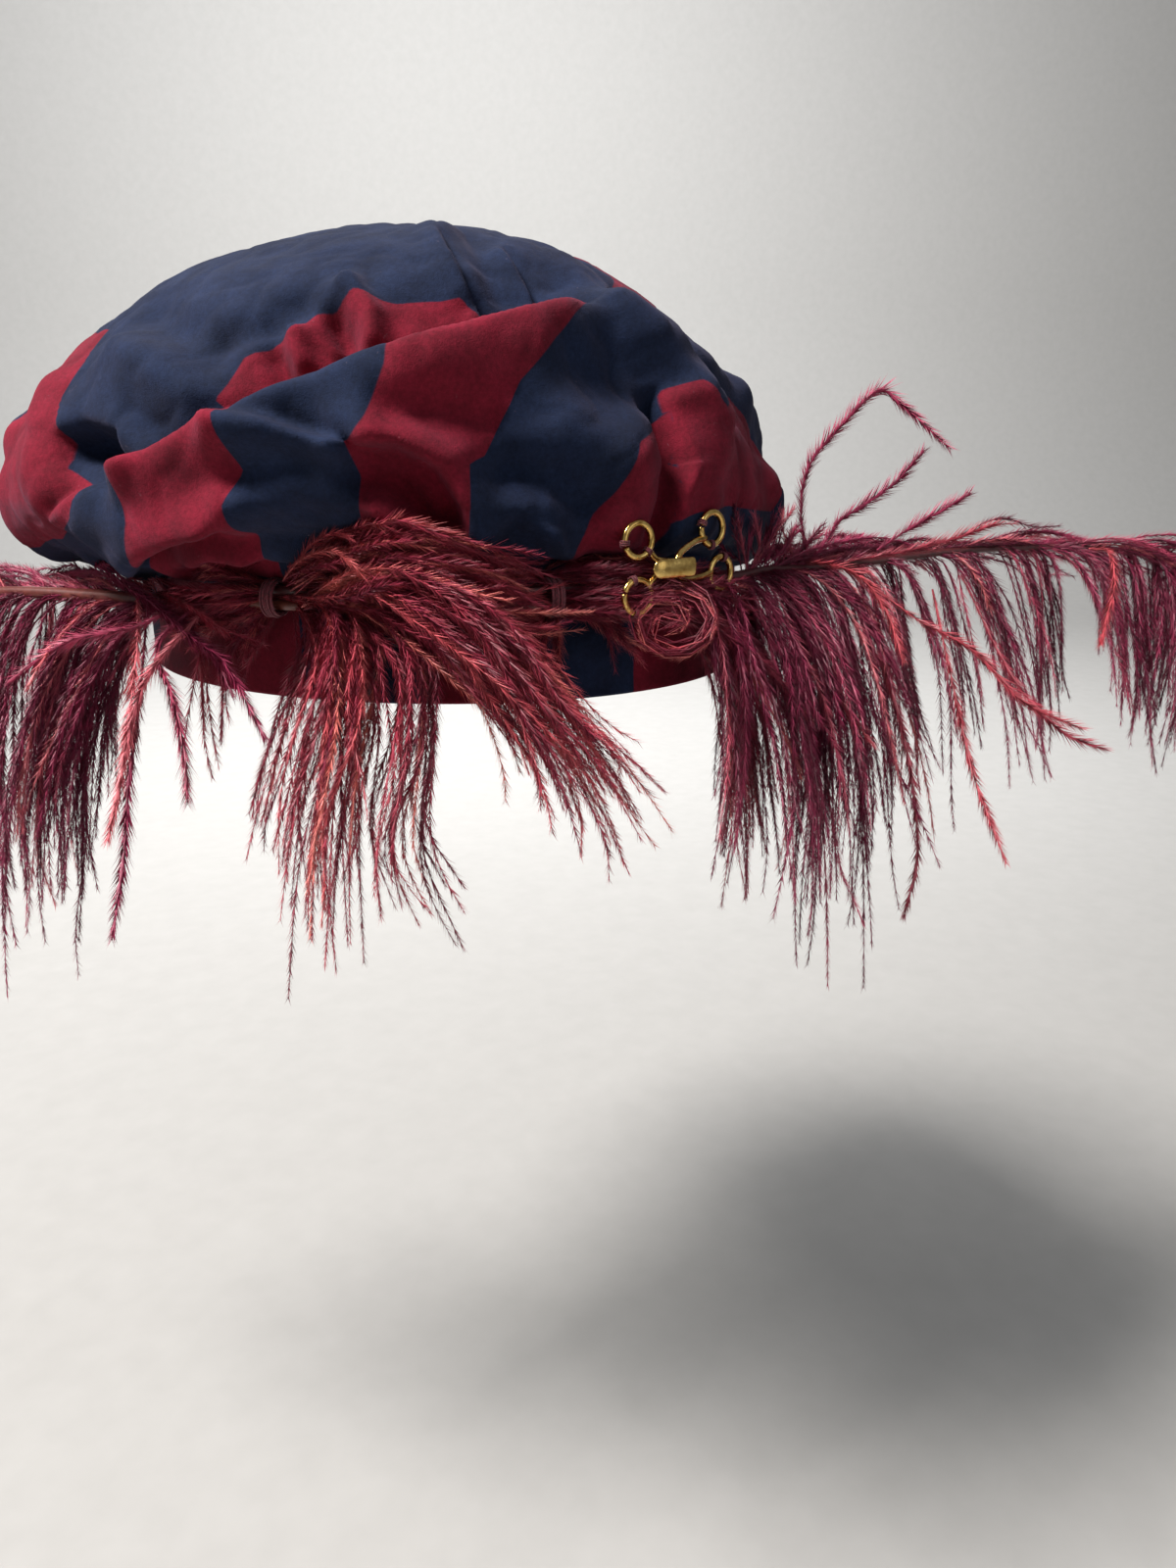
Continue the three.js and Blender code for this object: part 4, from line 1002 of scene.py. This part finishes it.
def smooth_path(points, samples):
    """A curve through points, with the same centripetal rule as the quills' solids."""
    rows = np.array(points, float)
    rows = np.vstack([2 * rows[0] - rows[1], rows, 2 * rows[-1] - rows[-2]])
    places = np.asarray(samples, float) * (len(rows) - 3)
    index = np.minimum(places.astype(int), len(rows) - 4)
    t = (places - index)[:, None]
    p0, p1, p2, p3 = (rows[index + k] for k in range(4))
    gap0, gap1, gap2 = (np.maximum(np.linalg.norm(b - a, axis=1), 1e-6)[:, None] ** 0.5
                        for a, b in ((p0, p1), (p1, p2), (p2, p3)))
    start = ((p1 - p0) / gap0 - (p2 - p0) / (gap0 + gap1) + (p2 - p1) / gap1) * gap1
    end = ((p2 - p1) / gap1 - (p3 - p1) / (gap1 + gap2) + (p3 - p2) / gap2) * gap1
    c2 = -3 * p1 + 3 * p2 - 2 * start - end
    c3 = 2 * p1 - 2 * p2 + start + end
    return p1 + start * t + c2 * t**2 + c3 * t**3


def tube(centres, radii, sides):
    """Points and faces of a round tube along centres, with ends closed by a point."""
    centres = np.asarray(centres, float)
    radii = np.broadcast_to(radii, len(centres))
    along = np.gradient(centres, axis=0)
    along /= np.linalg.norm(along, axis=1, keepdims=True)
    guide = np.array([0.23, 0.11, 1.0])
    if abs(along[:, 2]).max() > 0.97:
        guide = np.array([1.0, 0.31, 0.13])
    wide = np.cross(along, guide)
    wide /= np.linalg.norm(wide, axis=1, keepdims=True)
    tall = np.cross(wide, along)
    angles = np.linspace(0, 2 * math.pi, sides, endpoint=False)
    ring = wide[:, None] * np.cos(angles)[:, None] + tall[:, None] * np.sin(angles)[:, None]
    points = (centres[:, None] + ring * radii[:, None, None]).reshape(-1, 3)
    rows = len(centres)
    faces = ring_faces(rows, sides)
    points = np.vstack([points, centres[0], centres[-1]])
    last = len(points) - 1
    first = last - 1
    end = (rows - 1) * sides
    for side in range(sides):
        beside = (side + 1) % sides
        faces.append((first, beside, side))
        faces.append((end + side, end + beside, last))
    return points, faces


def join_shapes(shapes):
    """Several (points, faces) as one."""
    points = []
    faces = []
    start = 0
    for shape_points, shape_faces in shapes:
        points.append(shape_points)
        faces += [tuple(i + start for i in face) for face in shape_faces]
        start += len(shape_points)
    return np.concatenate(points), faces


def make_quill(name, rows):
    samples = np.linspace(0, 1, 120)
    path = smooth_path([row[:3] for row in rows], samples)
    radii = np.interp(samples * (len(rows) - 1), range(len(rows)), [row[3] for row in rows])
    points, faces = tube(path, radii, 14)
    share = np.concatenate([np.repeat(samples, 14), [0, 1]])
    return mesh_piece(name, points, faces, {"share": share})


def make_barbule():
    """Slivers that leave a barb to both sides, one unit long, towards its tip."""
    half_width = 0.042
    lean = math.radians(29)
    tilt = 0.12
    points = []
    faces = []
    for side in (-1, 1):
        start = len(points)
        points += [(0, -half_width, 0), (0, half_width, 0)]
        points.append((side * math.sin(lean), -side * tilt, math.cos(lean)))
        faces.append((start, start + 1, start + 2))
    mesh = bpy.data.meshes.new("barbule")
    mesh.from_pydata(points, [], faces)
    return add_object("barbule", mesh)


BARB_INPUTS = (
    ("Core step", "NodeSocketFloat"),
    ("Core radius", "NodeSocketFloat"),
    ("Barbule step", "NodeSocketFloat"),
    ("Barbule length", "NodeSocketFloat"),
    ("Barbule", "NodeSocketObject"),
    ("Finish", "NodeSocketMaterial"),
    ("Seed", "NodeSocketInt"),
)


def random_number(tree, seed, low, high):
    made = add_node(tree, "FunctionNodeRandomValue", {2: low, 3: high, "Seed": seed}, data_type="FLOAT")
    return made.outputs[1]


def line_value(tree, name):
    """A value that a barb's line carries."""
    return add_node(tree, "GeometryNodeInputNamedAttribute", {"Name": name}).outputs["Attribute"]


def product(tree, first, second):
    return add_node(tree, "ShaderNodeMath", {0: first, 1: second}, operation="MULTIPLY").outputs[0]


def barbule_turns(tree, seed):
    """Rotations that lay each barbule along its barb, at an angle of its own round it."""
    tangent = add_node(tree, "GeometryNodeInputTangent").outputs["Tangent"]
    facing = add_node(tree, "FunctionNodeAlignRotationToVector", {"Vector": tangent}, axis="Z").outputs[0]
    roll = random_number(tree, seed, 0, 2 * math.pi)
    spin = add_node(tree, "FunctionNodeAxisAngleToRotation", {"Axis": (0, 0, 1), "Angle": roll}).outputs[0]
    turns = {"Rotation": facing, "Rotate By": spin}
    return add_node(tree, "FunctionNodeRotateRotation", turns, rotation_space="LOCAL").outputs[0]


def barb_tree():
    """Turns each edge line into a thin tapered barb with barbules along it."""
    tree = bpy.data.node_groups.new("barbs_with_barbules", "GeometryNodeTree")
    tree.interface.new_socket("Geometry", in_out="INPUT", socket_type="NodeSocketGeometry")
    for name, kind in BARB_INPUTS:
        tree.interface.new_socket(name, in_out="INPUT", socket_type=kind)
    tree.interface.new_socket("Geometry", in_out="OUTPUT", socket_type="NodeSocketGeometry")
    given = add_node(tree, "NodeGroupInput").outputs
    lines = add_node(tree, "GeometryNodeMeshToCurve", {"Mesh": given["Geometry"]}).outputs["Curve"]

    def stepped(length):
        step = {"Curve": lines, "Length": length}
        return add_node(tree, "GeometryNodeResampleCurve", step, mode="LENGTH").outputs["Curve"]

    three_sided = {"Resolution": 3, "Radius": given["Core radius"]}
    section = add_node(tree, "GeometryNodeCurvePrimitiveCircle", three_sided)
    barb = add_node(tree, "GeometryNodeCurveToMesh", {
        "Curve": stepped(given["Core step"]),
        "Profile Curve": section.outputs["Curve"],
        "Scale": line_value(tree, "girth"),
    })
    uneven = random_number(tree, given["Seed"], 0.55, 1.15)
    length = product(tree, product(tree, given["Barbule length"], uneven), line_value(tree, "fuzz"))
    unit = {"Object": given["Barbule"]}
    barbule = add_node(tree, "GeometryNodeObjectInfo", unit, transform_space="ORIGINAL")
    placed = add_node(tree, "GeometryNodeInstanceOnPoints", {
        "Points": stepped(given["Barbule step"]),
        "Instance": barbule.outputs["Geometry"],
        "Rotation": barbule_turns(tree, given["Seed"]),
        "Scale": length,
    })
    real = add_node(tree, "GeometryNodeRealizeInstances", {"Geometry": placed.outputs["Instances"]})
    both = add_node(tree, "GeometryNodeJoinGeometry")
    tree.links.new(real.outputs["Geometry"], both.inputs["Geometry"])
    tree.links.new(barb.outputs["Mesh"], both.inputs["Geometry"])
    finish = {"Geometry": both.outputs["Geometry"], "Material": given["Finish"]}
    done = add_node(tree, "GeometryNodeSetMaterial", finish)
    add_node(tree, "NodeGroupOutput", {"Geometry": done.outputs["Geometry"]})
    return tree


def set_input(modifier, name, value):
    for item in modifier.node_group.interface.items_tree:
        if item.item_type == "SOCKET" and item.in_out == "INPUT" and item.name == name:
            modifier[item.identifier] = value
            return
    raise ValueError(f"the tree has no input named {name}")


def baked(piece, name):
    """The piece as its modifiers leave it, as a plain mesh of its own."""
    bpy.context.view_layer.update()
    shown = piece.evaluated_get(bpy.context.evaluated_depsgraph_get())
    mesh = bpy.data.meshes.new_from_object(shown)
    mesh.name = name
    made = add_object(name, mesh)
    bpy.data.objects.remove(piece)
    return made


def body_tree(pieces):
    """A search tree of the cloth, with its faces in millimetres."""
    shapes = []
    for piece in pieces:
        points = [corner.co / MM for corner in piece.data.vertices]
        shapes.append((points, [tuple(face.vertices) for face in piece.data.polygons]))
    return BVHTree.FromPolygons(*join_shapes(shapes))


class Hat:
    """The cloth that barbs rest on."""

    def __init__(self, pieces):
        self.tree = body_tree(pieces)

    def clear(self, line, margin):
        """A barb's points moved out of the cloth, so that they stay a margin clear of it."""
        cleared = []
        for place in line:
            spot = Vector(place)
            for _ in range(2):
                near, normal, _, distance = self.tree.find_nearest(spot, 40)
                if near is None:
                    break
                depth = (spot - near).dot(normal)
                below_band = spot.z < 0
                if depth >= margin or (depth < 0 and below_band):
                    break
                if distance > margin and depth > 0:
                    break
                spot = near + normal * margin
            cleared.append(tuple(self.outside_opening(spot, margin)))
        return np.array(cleared)

    @staticmethod
    def outside_opening(spot, margin):
        """A point beside or below the band moved outside its outline, clear of the wearer."""
        if spot.z > BAND_HEIGHT + 1:
            return spot
        bearing = math.degrees(math.atan2(spot.x, -spot.y))
        reach = float(band_reach(np.array(bearing))) + margin
        level = math.hypot(spot.x, spot.y)
        if level >= reach:
            return spot
        return Vector((spot.x * reach / level, spot.y * reach / level, spot.z))


def on_band(places):
    """Points from rows of bearing, height and stand-off from the band."""
    rows = np.array(places, float)
    points = outward(rows[:, 0]) * (band_reach(rows[:, 0]) + rows[:, 2])[:, None]
    points[:, 2] = rows[:, 1]
    return points


def quill_frame(rows, share):
    """Place, level direction along and level direction away from the hat, at a share of a quill."""
    near = smooth_path([row[:3] for row in rows], [share, min(share + 0.01, 1), max(share - 0.01, 0)])
    level = near[1] - near[2]
    level[2] = 0
    level /= np.linalg.norm(level)
    away = np.array([level[1], -level[0], 0])
    if away @ near[0] < 0:
        away = -away
    return near[0], level, away


def fan_line(quill, row):
    """One barb's line from a row of share, length, along, away, lift and drop."""
    share, length, along, away_share, lift, drop = row
    root, level, away = quill_frame(quill, share)
    s = np.linspace(0, 1, BARB_POINTS)[:, None]
    line = root + level * (length * along * s) + away * (length * away_share * np.sin(s * math.pi / 2))
    line[:, 2] += length * (lift * s - (lift + drop) * s**1.7)[:, 0]
    return line


def lock_of_barbs(rng, line, count, width, wild):
    """Barbs round a lock's line in a few strands, which part from each other towards their tips."""
    s = np.linspace(0, 1, len(line))[:, None]
    span = np.linalg.norm(np.diff(line, axis=0), axis=1).sum()
    strands = rng.normal(0, 1, (count // 3 + 1, 3)) * width
    parting = rng.normal(0, 1, (len(strands), 3)) * wild * span
    barbs = []
    for _ in range(count):
        strand = rng.integers(len(strands))
        offset = strands[strand] + rng.normal(0, 0.4, 3) * width
        drift = parting[strand] + rng.normal(0, 0.35, 3) * wild * span
        wave = rng.normal(0, 1, 3) * span * 0.014
        phase = rng.uniform(0, FULL_TURN)
        turns = rng.uniform(1.0, 2.8)
        apart = np.sin(np.minimum(s * 2.2, 1) * math.pi / 2)
        barb = line + offset * apart + drift * s**2.2
        barb = barb + wave * np.sin(turns * s * FULL_TURN + phase) * s
        end = rng.uniform(0.78, 1.0) if rng.random() < 0.7 else rng.uniform(0.45, 0.8)
        keep = np.linspace(0, end, len(line)) * (len(line) - 1)
        index = np.minimum(keep.astype(int), len(line) - 2)
        mix = (keep - index)[:, None]
        barbs.append(barb[index] * (1 - mix) + barb[index + 1] * mix)
    return barbs


def fan_of_barbs(rng, quill, rows, locks, count, width, wild):
    """Locks of barbs all along a quill, from rows that are read in between."""
    table = np.array(rows, float)
    barbs = []
    for share in np.linspace(table[0, 0], table[-1, 0], locks):
        share = min(share + rng.uniform(-0.4, 0.4) * (table[-1, 0] - table[0, 0]) / locks, 0.995)
        row = [share] + [np.interp(share, table[:, 0], table[:, c]) for c in range(1, table.shape[1])]
        row[1] *= rng.uniform(0.82, 1.06)
        row[2] += rng.normal(0, 0.05)
        row[3] += rng.uniform(-0.12, 0.12)
        row[4] += abs(rng.normal(0, 0.03))
        for barb in lock_of_barbs(rng, fan_line(quill, row), count, width, wild):
            root = quill_frame(quill, min(max(share + rng.normal(0, 0.5) / locks * 0.5, 0), 1))[0]
            ease = (1 - np.linspace(0, 1, len(barb))[:, None]) ** 2.5
            barbs.append(barb + (root - barb[0]) * ease)
    return barbs


def guided_barbs(rng, guides, width, wild):
    """Locks of barbs between pairs of guide lines that are given on the band."""
    barbs = []
    samples = np.linspace(0, 1, BARB_POINTS)
    for locks, count, first, last in guides:
        first_line = smooth_path(on_band(first), samples)
        last_line = smooth_path(on_band(last), samples)
        for i in range(locks):
            mix = min(max((i + rng.uniform(-0.35, 0.35)) / max(locks - 1, 1), -0.05), 1.05)
            line = first_line * (1 - mix) + last_line * mix
            line = line[0] + (line - line[0]) * rng.uniform(0.86, 1.06)
            barbs += lock_of_barbs(rng, line, count, width, wild)
    return barbs


def tones_for(rng, count, low, high, painted_highlight_share):
    """A tone for each barb, most of them between two values and a share of them bright, at the ramp's
    painted-highlight end.
    """
    tones = rng.uniform(low, high, count)
    lit = rng.random(count) < painted_highlight_share
    tones[lit] = rng.uniform(high, 1.0, lit.sum())
    return tones


def make_tie(tie):
    """Turns of thread round the plumes: one helix there and one back."""
    name, centre, bearing, reach = tie
    turn = math.radians(bearing)
    along = np.array((math.cos(turn), math.sin(turn), 0))
    side = np.cross(along, (0, 0, 1))
    up = np.cross(side, along)
    s = np.linspace(0, 1, TIE_TURNS * 26)
    angle = 2 * math.pi * TIE_TURNS * s + bearing
    travel = TIE_LENGTH * (np.abs(2 * s - 1) - 0.5)
    wobble = reach + 0.28 * np.sin(angle * 0.37 + bearing) + 0.3 * (s > 0.5)
    centres = np.array(centre) + along * travel[:, None]
    centres = centres + (side * np.cos(angle)[:, None] + up * np.sin(angle)[:, None]) * wobble[:, None]
    points, faces = tube(centres, TIE_THREAD, 7)
    return mesh_piece(name + "_thread", points, faces)


def clasp_frame(piece):
    """Moves a clasp piece's flat drawing, X to the wearer's left and Y up, to its place."""
    centre, facing, roll, _ = piece
    direction = outward(np.array(float(facing)))
    side = np.cross((0, 0, 1), direction)
    side /= np.linalg.norm(side)
    upright = np.cross(direction, side)
    turn = math.radians(roll)
    x_axis = side * math.cos(turn) + upright * math.sin(turn)
    y_axis = upright * math.cos(turn) - side * math.sin(turn)
    return lambda points: np.array(centre) + np.asarray(points) @ np.array([x_axis, y_axis, direction])


def sewing_ring(y, gap_at):
    """A ring of wire round a sewing hole, closed where it meets the shank."""
    angles = np.radians(gap_at) + np.linspace(math.radians(4), math.radians(356), 56)
    centres = np.stack([RING_RADIUS * np.cos(angles), y + RING_RADIUS * np.sin(angles), 0 * angles], 1)
    return tube(centres, WIRE_RADIUS, 14)


def bent_wire(points):
    return tube(smooth_path(points, np.linspace(0, 1, 60)), WIRE_RADIUS, 14)


def folded_nose():
    """The flattened fold of the hook: round at its tip and square at its bend."""
    length = 12.8
    half_height = 2.45
    half_depth = 1.05
    x_shares = [0, 0.012, 0.04, 0.09, 0.16, 0.24, 0.34, 0.5, 0.7, 0.86, 0.95, 0.985, 1.0]
    points = []
    sides = 28
    angles = np.linspace(0, 2 * math.pi, sides, endpoint=False)
    for share in x_shares:
        tip = min(share / 0.22, 1)
        grow = math.sqrt(max(1 - (1 - tip) ** 2, 0)) if share < 0.22 else 1
        bend = max((share - 0.95) / 0.05, 0)
        grow *= 1 - 0.16 * bend**2
        y = half_height * grow * np.sign(np.cos(angles)) * np.abs(np.cos(angles)) ** 0.75
        z = half_depth * (0.35 + 0.65 * grow) * grow
        z = z * np.sign(np.sin(angles)) * np.abs(np.sin(angles)) ** 0.75
        x = np.full(sides, 1.5 + length * share)
        points.append(np.stack([x, y, 4.3 + z], 1))
    points = np.concatenate(points)
    faces = ring_faces(len(x_shares), sides)
    faces.append(tuple(range(sides))[::-1])
    faces.append(tuple(range((len(x_shares) - 1) * sides, len(x_shares) * sides)))
    return points, faces


def make_clasp():
    """The hook and the eye, each one bent wire with two sewing rings."""
    rise = HOOK[3]
    shanks = [bent_wire([(x, side * y, z) for x, y, z in HOOK_WIRE]) for side in (-1, 1)]
    points, faces = join_shapes([sewing_ring(rise, 200), sewing_ring(-rise, 165), *shanks, folded_nose()])
    hook = mesh_piece("hook_wire", clasp_frame(HOOK)(points), faces)
    rise = EYE[3]
    loop = bent_wire(EYE_WIRE)
    points, faces = join_shapes([sewing_ring(rise, 150), sewing_ring(-rise, 215), loop])
    eye = mesh_piece("eye_wire", clasp_frame(EYE)(points), faces)
    return hook, eye


def make_stitches():
    """Turns of sewing thread round the clasp's rings."""
    shapes = []
    for piece, side, angles in STITCHES:
        to_place = clasp_frame(piece)
        for angle in angles:
            turn = math.radians(angle)
            s = np.linspace(0, 1, 60)
            swing = 2 * math.pi * STITCH_TURNS * s
            reach = WIRE_RADIUS + 0.28
            round_ring = turn + (s - 0.5) * STITCH_SPREAD
            level = RING_RADIUS + reach * np.cos(swing)
            centres = np.stack([level * np.cos(round_ring), side * piece[3] + level * np.sin(round_ring),
                                reach * np.sin(swing)], 1)
            shapes.append(tube(to_place(centres), STITCH_THREAD, 6))
    points, faces = join_shapes(shapes)
    return mesh_piece("clasp_stitches", points, faces)


def finish_piece(piece, material, slot, *replaced):
    piece.data.materials.clear()
    piece.data.materials.append(material)
    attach(piece, "root")
    if replaced:
        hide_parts(*replaced)


class BarbMaker:
    """Makes the barbs' pieces, all with the same tree, barbule and two dye ramps, a coral one with painted
    highlights and a plum one with painted shade.
    """

    def __init__(self, hat):
        self.hat = hat
        self.rng = np.random.default_rng(SEED)
        self.tree = barb_tree()
        self.barbule = make_barbule()
        self.coral = barb_material("coral_barbs_painted_highlights", CORAL_DYE_WITH_PAINTED_HIGHLIGHTS)
        self.plum = barb_material("plum_barbs_painted_shade", PLUM_DYE_WITH_PAINTED_SHADE)

    def piece(self, name, barbs, tone, **sizes):
        """A piece of barbs from their lines, which takes its plume's place."""
        plume = PLUME_OF[name.split("_")[1]]
        # Coral, partly painted highlight, for the front bundle and the loose barbs; plum, with painted
        # shade, for the side plumes.
        dye_and_painted_light = self.coral if plume == "plume_front" or name == "barbs_loose" else self.plum
        tones = tones_for(self.rng, len(barbs), *tone)
        lines = self.resting_lines(name + "_lines", barbs, tones)
        finish_piece(self.feathered(lines, name, dye_and_painted_light, len(barbs), **sizes), dye_and_painted_light, "plume", plume)

    def resting_lines(self, name, barbs, tones):
        """Edge lines of barbs laid clear of the cloth, with what the tree and the barbs' material read."""
        points = []
        edges = []
        values = {"girth": [], "fuzz": [], "tone": [], "share": []}
        for barb, tone in zip(barbs, tones):
            line = self.hat.clear(barb, BARB_CLEARANCE)
            share = np.linspace(0, 1, len(line))
            start = len(points)
            points += line.tolist()
            edges += [(start + i, start + i + 1) for i in range(len(line) - 1)]
            values["girth"] += (1.5 - 1.1 * share).tolist()
            values["fuzz"] += (np.minimum(0.45 + share * 1.4, 1) * (1 - 0.45 * share**6)).tolist()
            values["tone"] += [tone] * len(line)
            values["share"] += share.tolist()
        mesh = bpy.data.meshes.new(name)
        mesh.from_pydata((np.array(points) * MM).tolist(), edges, [])
        set_values(mesh, values)
        return add_object(name, mesh)

    def feathered(self, lines, name, dye_and_painted_light, seed, core=0.19, step=0.42, fuzz=4.4):
        """The lines as barbs, from their radius and their barbules' step and length in millimetres."""
        modifier = lines.modifiers.new("barbs", "NODES")
        modifier.node_group = self.tree
        inputs = {
            "Core step": 6 * MM,
            "Core radius": core * MM,
            "Barbule step": step * MM,
            "Barbule length": fuzz * MM,
            "Barbule": self.barbule,
            "Finish": dye_and_painted_light,
            "Seed": seed,
        }
        for label, value in inputs.items():
            set_input(modifier, label, value)
        return baked(lines, name)


def make_plumes(hat):
    """All barbs, in pieces of under 200,000 triangles."""
    maker = BarbMaker(hat)
    rng = maker.rng
    for name, groups, tone in GUIDED_PIECES:
        barbs = []
        for group in groups:
            barbs += guided_barbs(rng, *group)
        maker.piece(name, barbs, tone)
    for name, quill, fans, tone in FANNED_PIECES:
        barbs = []
        for fan in fans:
            barbs += fan_of_barbs(rng, quill, *fan)
        maker.piece(name, barbs, tone)
    samples = np.linspace(0, 1, 40)
    raised = [smooth_path(line, samples) for line in RAISED_BARBS]
    maker.piece("barbs_right_raised", raised, (0.55, 0.7, 0.0), step=0.2, fuzz=6.5, core=0.22)
    loose = [smooth_path(line, samples) for line in LOOSE_BARBS]
    maker.piece("barbs_loose", loose, (0.55, 0.85, 0.3), step=0.22, fuzz=6, core=0.22)
    coils = [smooth_path(line, samples) + rng.normal(0, 0.8, 3) for line in COILS for _ in range(4)]
    maker.piece("barbs_clasp_coils", coils, (0.3, 0.6, 0.15), step=0.5, fuzz=1.9, core=0.16)
    crossing = [smooth_path(line, samples) for line in CROSSING_BARBS]
    maker.piece("barbs_left_crossing", crossing, (0.55, 0.8, 0.4), step=0.2, fuzz=6.5, core=0.22)
    bpy.data.objects.remove(maker.barbule)


def make_stage():
    """A pale floor that turns up into a backdrop far behind."""
    bend = np.radians(np.linspace(0, 90, 13))
    profile = [(FLOOR_START, 0)]
    profile += [(BEND_START + BEND_RADIUS * math.sin(a), BEND_RADIUS * (1 - math.cos(a))) for a in bend]
    profile += [(BEND_START + BEND_RADIUS, WALL_TOP)]
    turn = math.radians(CAMERA_BEARING)
    ahead = Vector((-math.sin(turn), math.cos(turn), 0))
    side = Vector((ahead.y, -ahead.x, 0))
    points = []
    for reach in (-STAGE_HALF, STAGE_HALF):
        for along, height in profile:
            points.append(ahead * along + side * reach + Vector((0, 0, FLOOR_LEVEL + height)))
    count = len(profile)
    faces = [(i, i + 1, count + i + 1, count + i) for i in range(count - 1)]
    mesh = bpy.data.meshes.new("studio_sweep")
    mesh.from_pydata(points, [], faces)
    mesh.polygons.foreach_set("use_smooth", [True] * len(mesh.polygons))
    material, tree, shader = new_material("pale_floor", Roughness=0.85)
    tree.links.new(shaded(tree, speckle(tree, 60, 3), PALE), shader.inputs["Base Color"])
    mesh.materials.append(material)
    add_object("studio_sweep", mesh)


def soft_light(name, azimuth, elevation, distance, size, power, colour=(1, 1, 1), target=(0, 0, 0.05)):
    """A square light that faces the hat, or another target, from a direction round it."""
    data = bpy.data.lights.new(name, "AREA")
    data.size = size
    data.energy = power
    data.color = colour
    light = add_object(name, data)
    turn = math.radians(azimuth)
    climb = math.radians(elevation)
    level = math.cos(climb)
    back = Vector((math.sin(turn) * level, -math.cos(turn) * level, math.sin(climb)))
    light.location = Vector(target) + back * distance
    light.rotation_euler = (-back).to_track_quat("-Z", "Y").to_euler()


def make_lights():
    soft_light("key", -112, 54, 1.5, 0.45, 54, (1.0, 0.96, 0.92))
    soft_light("fill", -10, 15, 1.9, 1.4, 4, (0.93, 0.96, 1.0))
    soft_light("back", 140, 40, 1.9, 1.2, 8)
    soft_light("backdrop", -50, 32, 1.9, 1.6, 64, target=(2.1, 1.75, 0.3))
    world = bpy.data.worlds.new("pale_room")
    world.use_nodes = True
    background = world.node_tree.nodes["Background"]
    background.inputs["Color"].default_value = (0.9, 0.92, 0.95, 1)
    background.inputs["Strength"].default_value = 0.22
    bpy.context.scene.world = world


def make_camera():
    data = bpy.data.cameras.new("camera")
    data.lens = CAMERA_LENS
    data.sensor_width = CAMERA_SENSOR
    data.sensor_fit = "AUTO"
    data.clip_start = 0.01
    camera = add_object("camera", data)
    heading = math.radians(CAMERA_BEARING - CAMERA_TURN)
    pitch = math.radians(CAMERA_PITCH)
    level = math.cos(pitch)
    look = Vector((-math.sin(heading) * level, math.cos(heading) * level, -math.sin(pitch)))
    camera.rotation_euler = look.to_track_quat("-Z", "Y").to_euler()
    camera.location = Vector(CAMERA_PLACE) * MM
    bpy.context.scene.camera = camera


def main():
    make_camera()
    make_stage()
    make_lights()
    bpy.context.scene.view_settings.view_transform = "Standard"

    cloth = cloth_material()
    crown = make_crown()
    headband = make_headband()
    hat = Hat([crown, headband])
    finish_piece(crown, cloth, "check_cloth", "crown")
    finish_piece(headband, cloth, "check_cloth", "headband")

    dark_quill = quill_material("dark_quill", (0.045, 0.008, 0.01), (0.08, 0.012, 0.014))
    brown_quill = quill_material("brown_quill", (0.13, 0.035, 0.022), (0.09, 0.015, 0.016))
    finish_piece(make_quill("quill_right", RIGHT_QUILL), dark_quill, "plume", "plume_right")
    finish_piece(make_quill("quill_left", LEFT_QUILL), brown_quill, "plume", "plume_left")
    finish_piece(make_quill("quill_front", FRONT_QUILL), dark_quill, "plume", "plume_front")

    make_plumes(hat)

    thread = thread_material()
    for tie in TIES:
        finish_piece(make_tie(tie), thread, "thread", tie[0])
    gold = gold_material()
    hook, eye = make_clasp()
    finish_piece(hook, gold, "gold_wire", "clasp_hook")
    finish_piece(eye, gold, "gold_wire", "clasp_eye")
    finish_piece(make_stitches(), thread, "thread")


main()
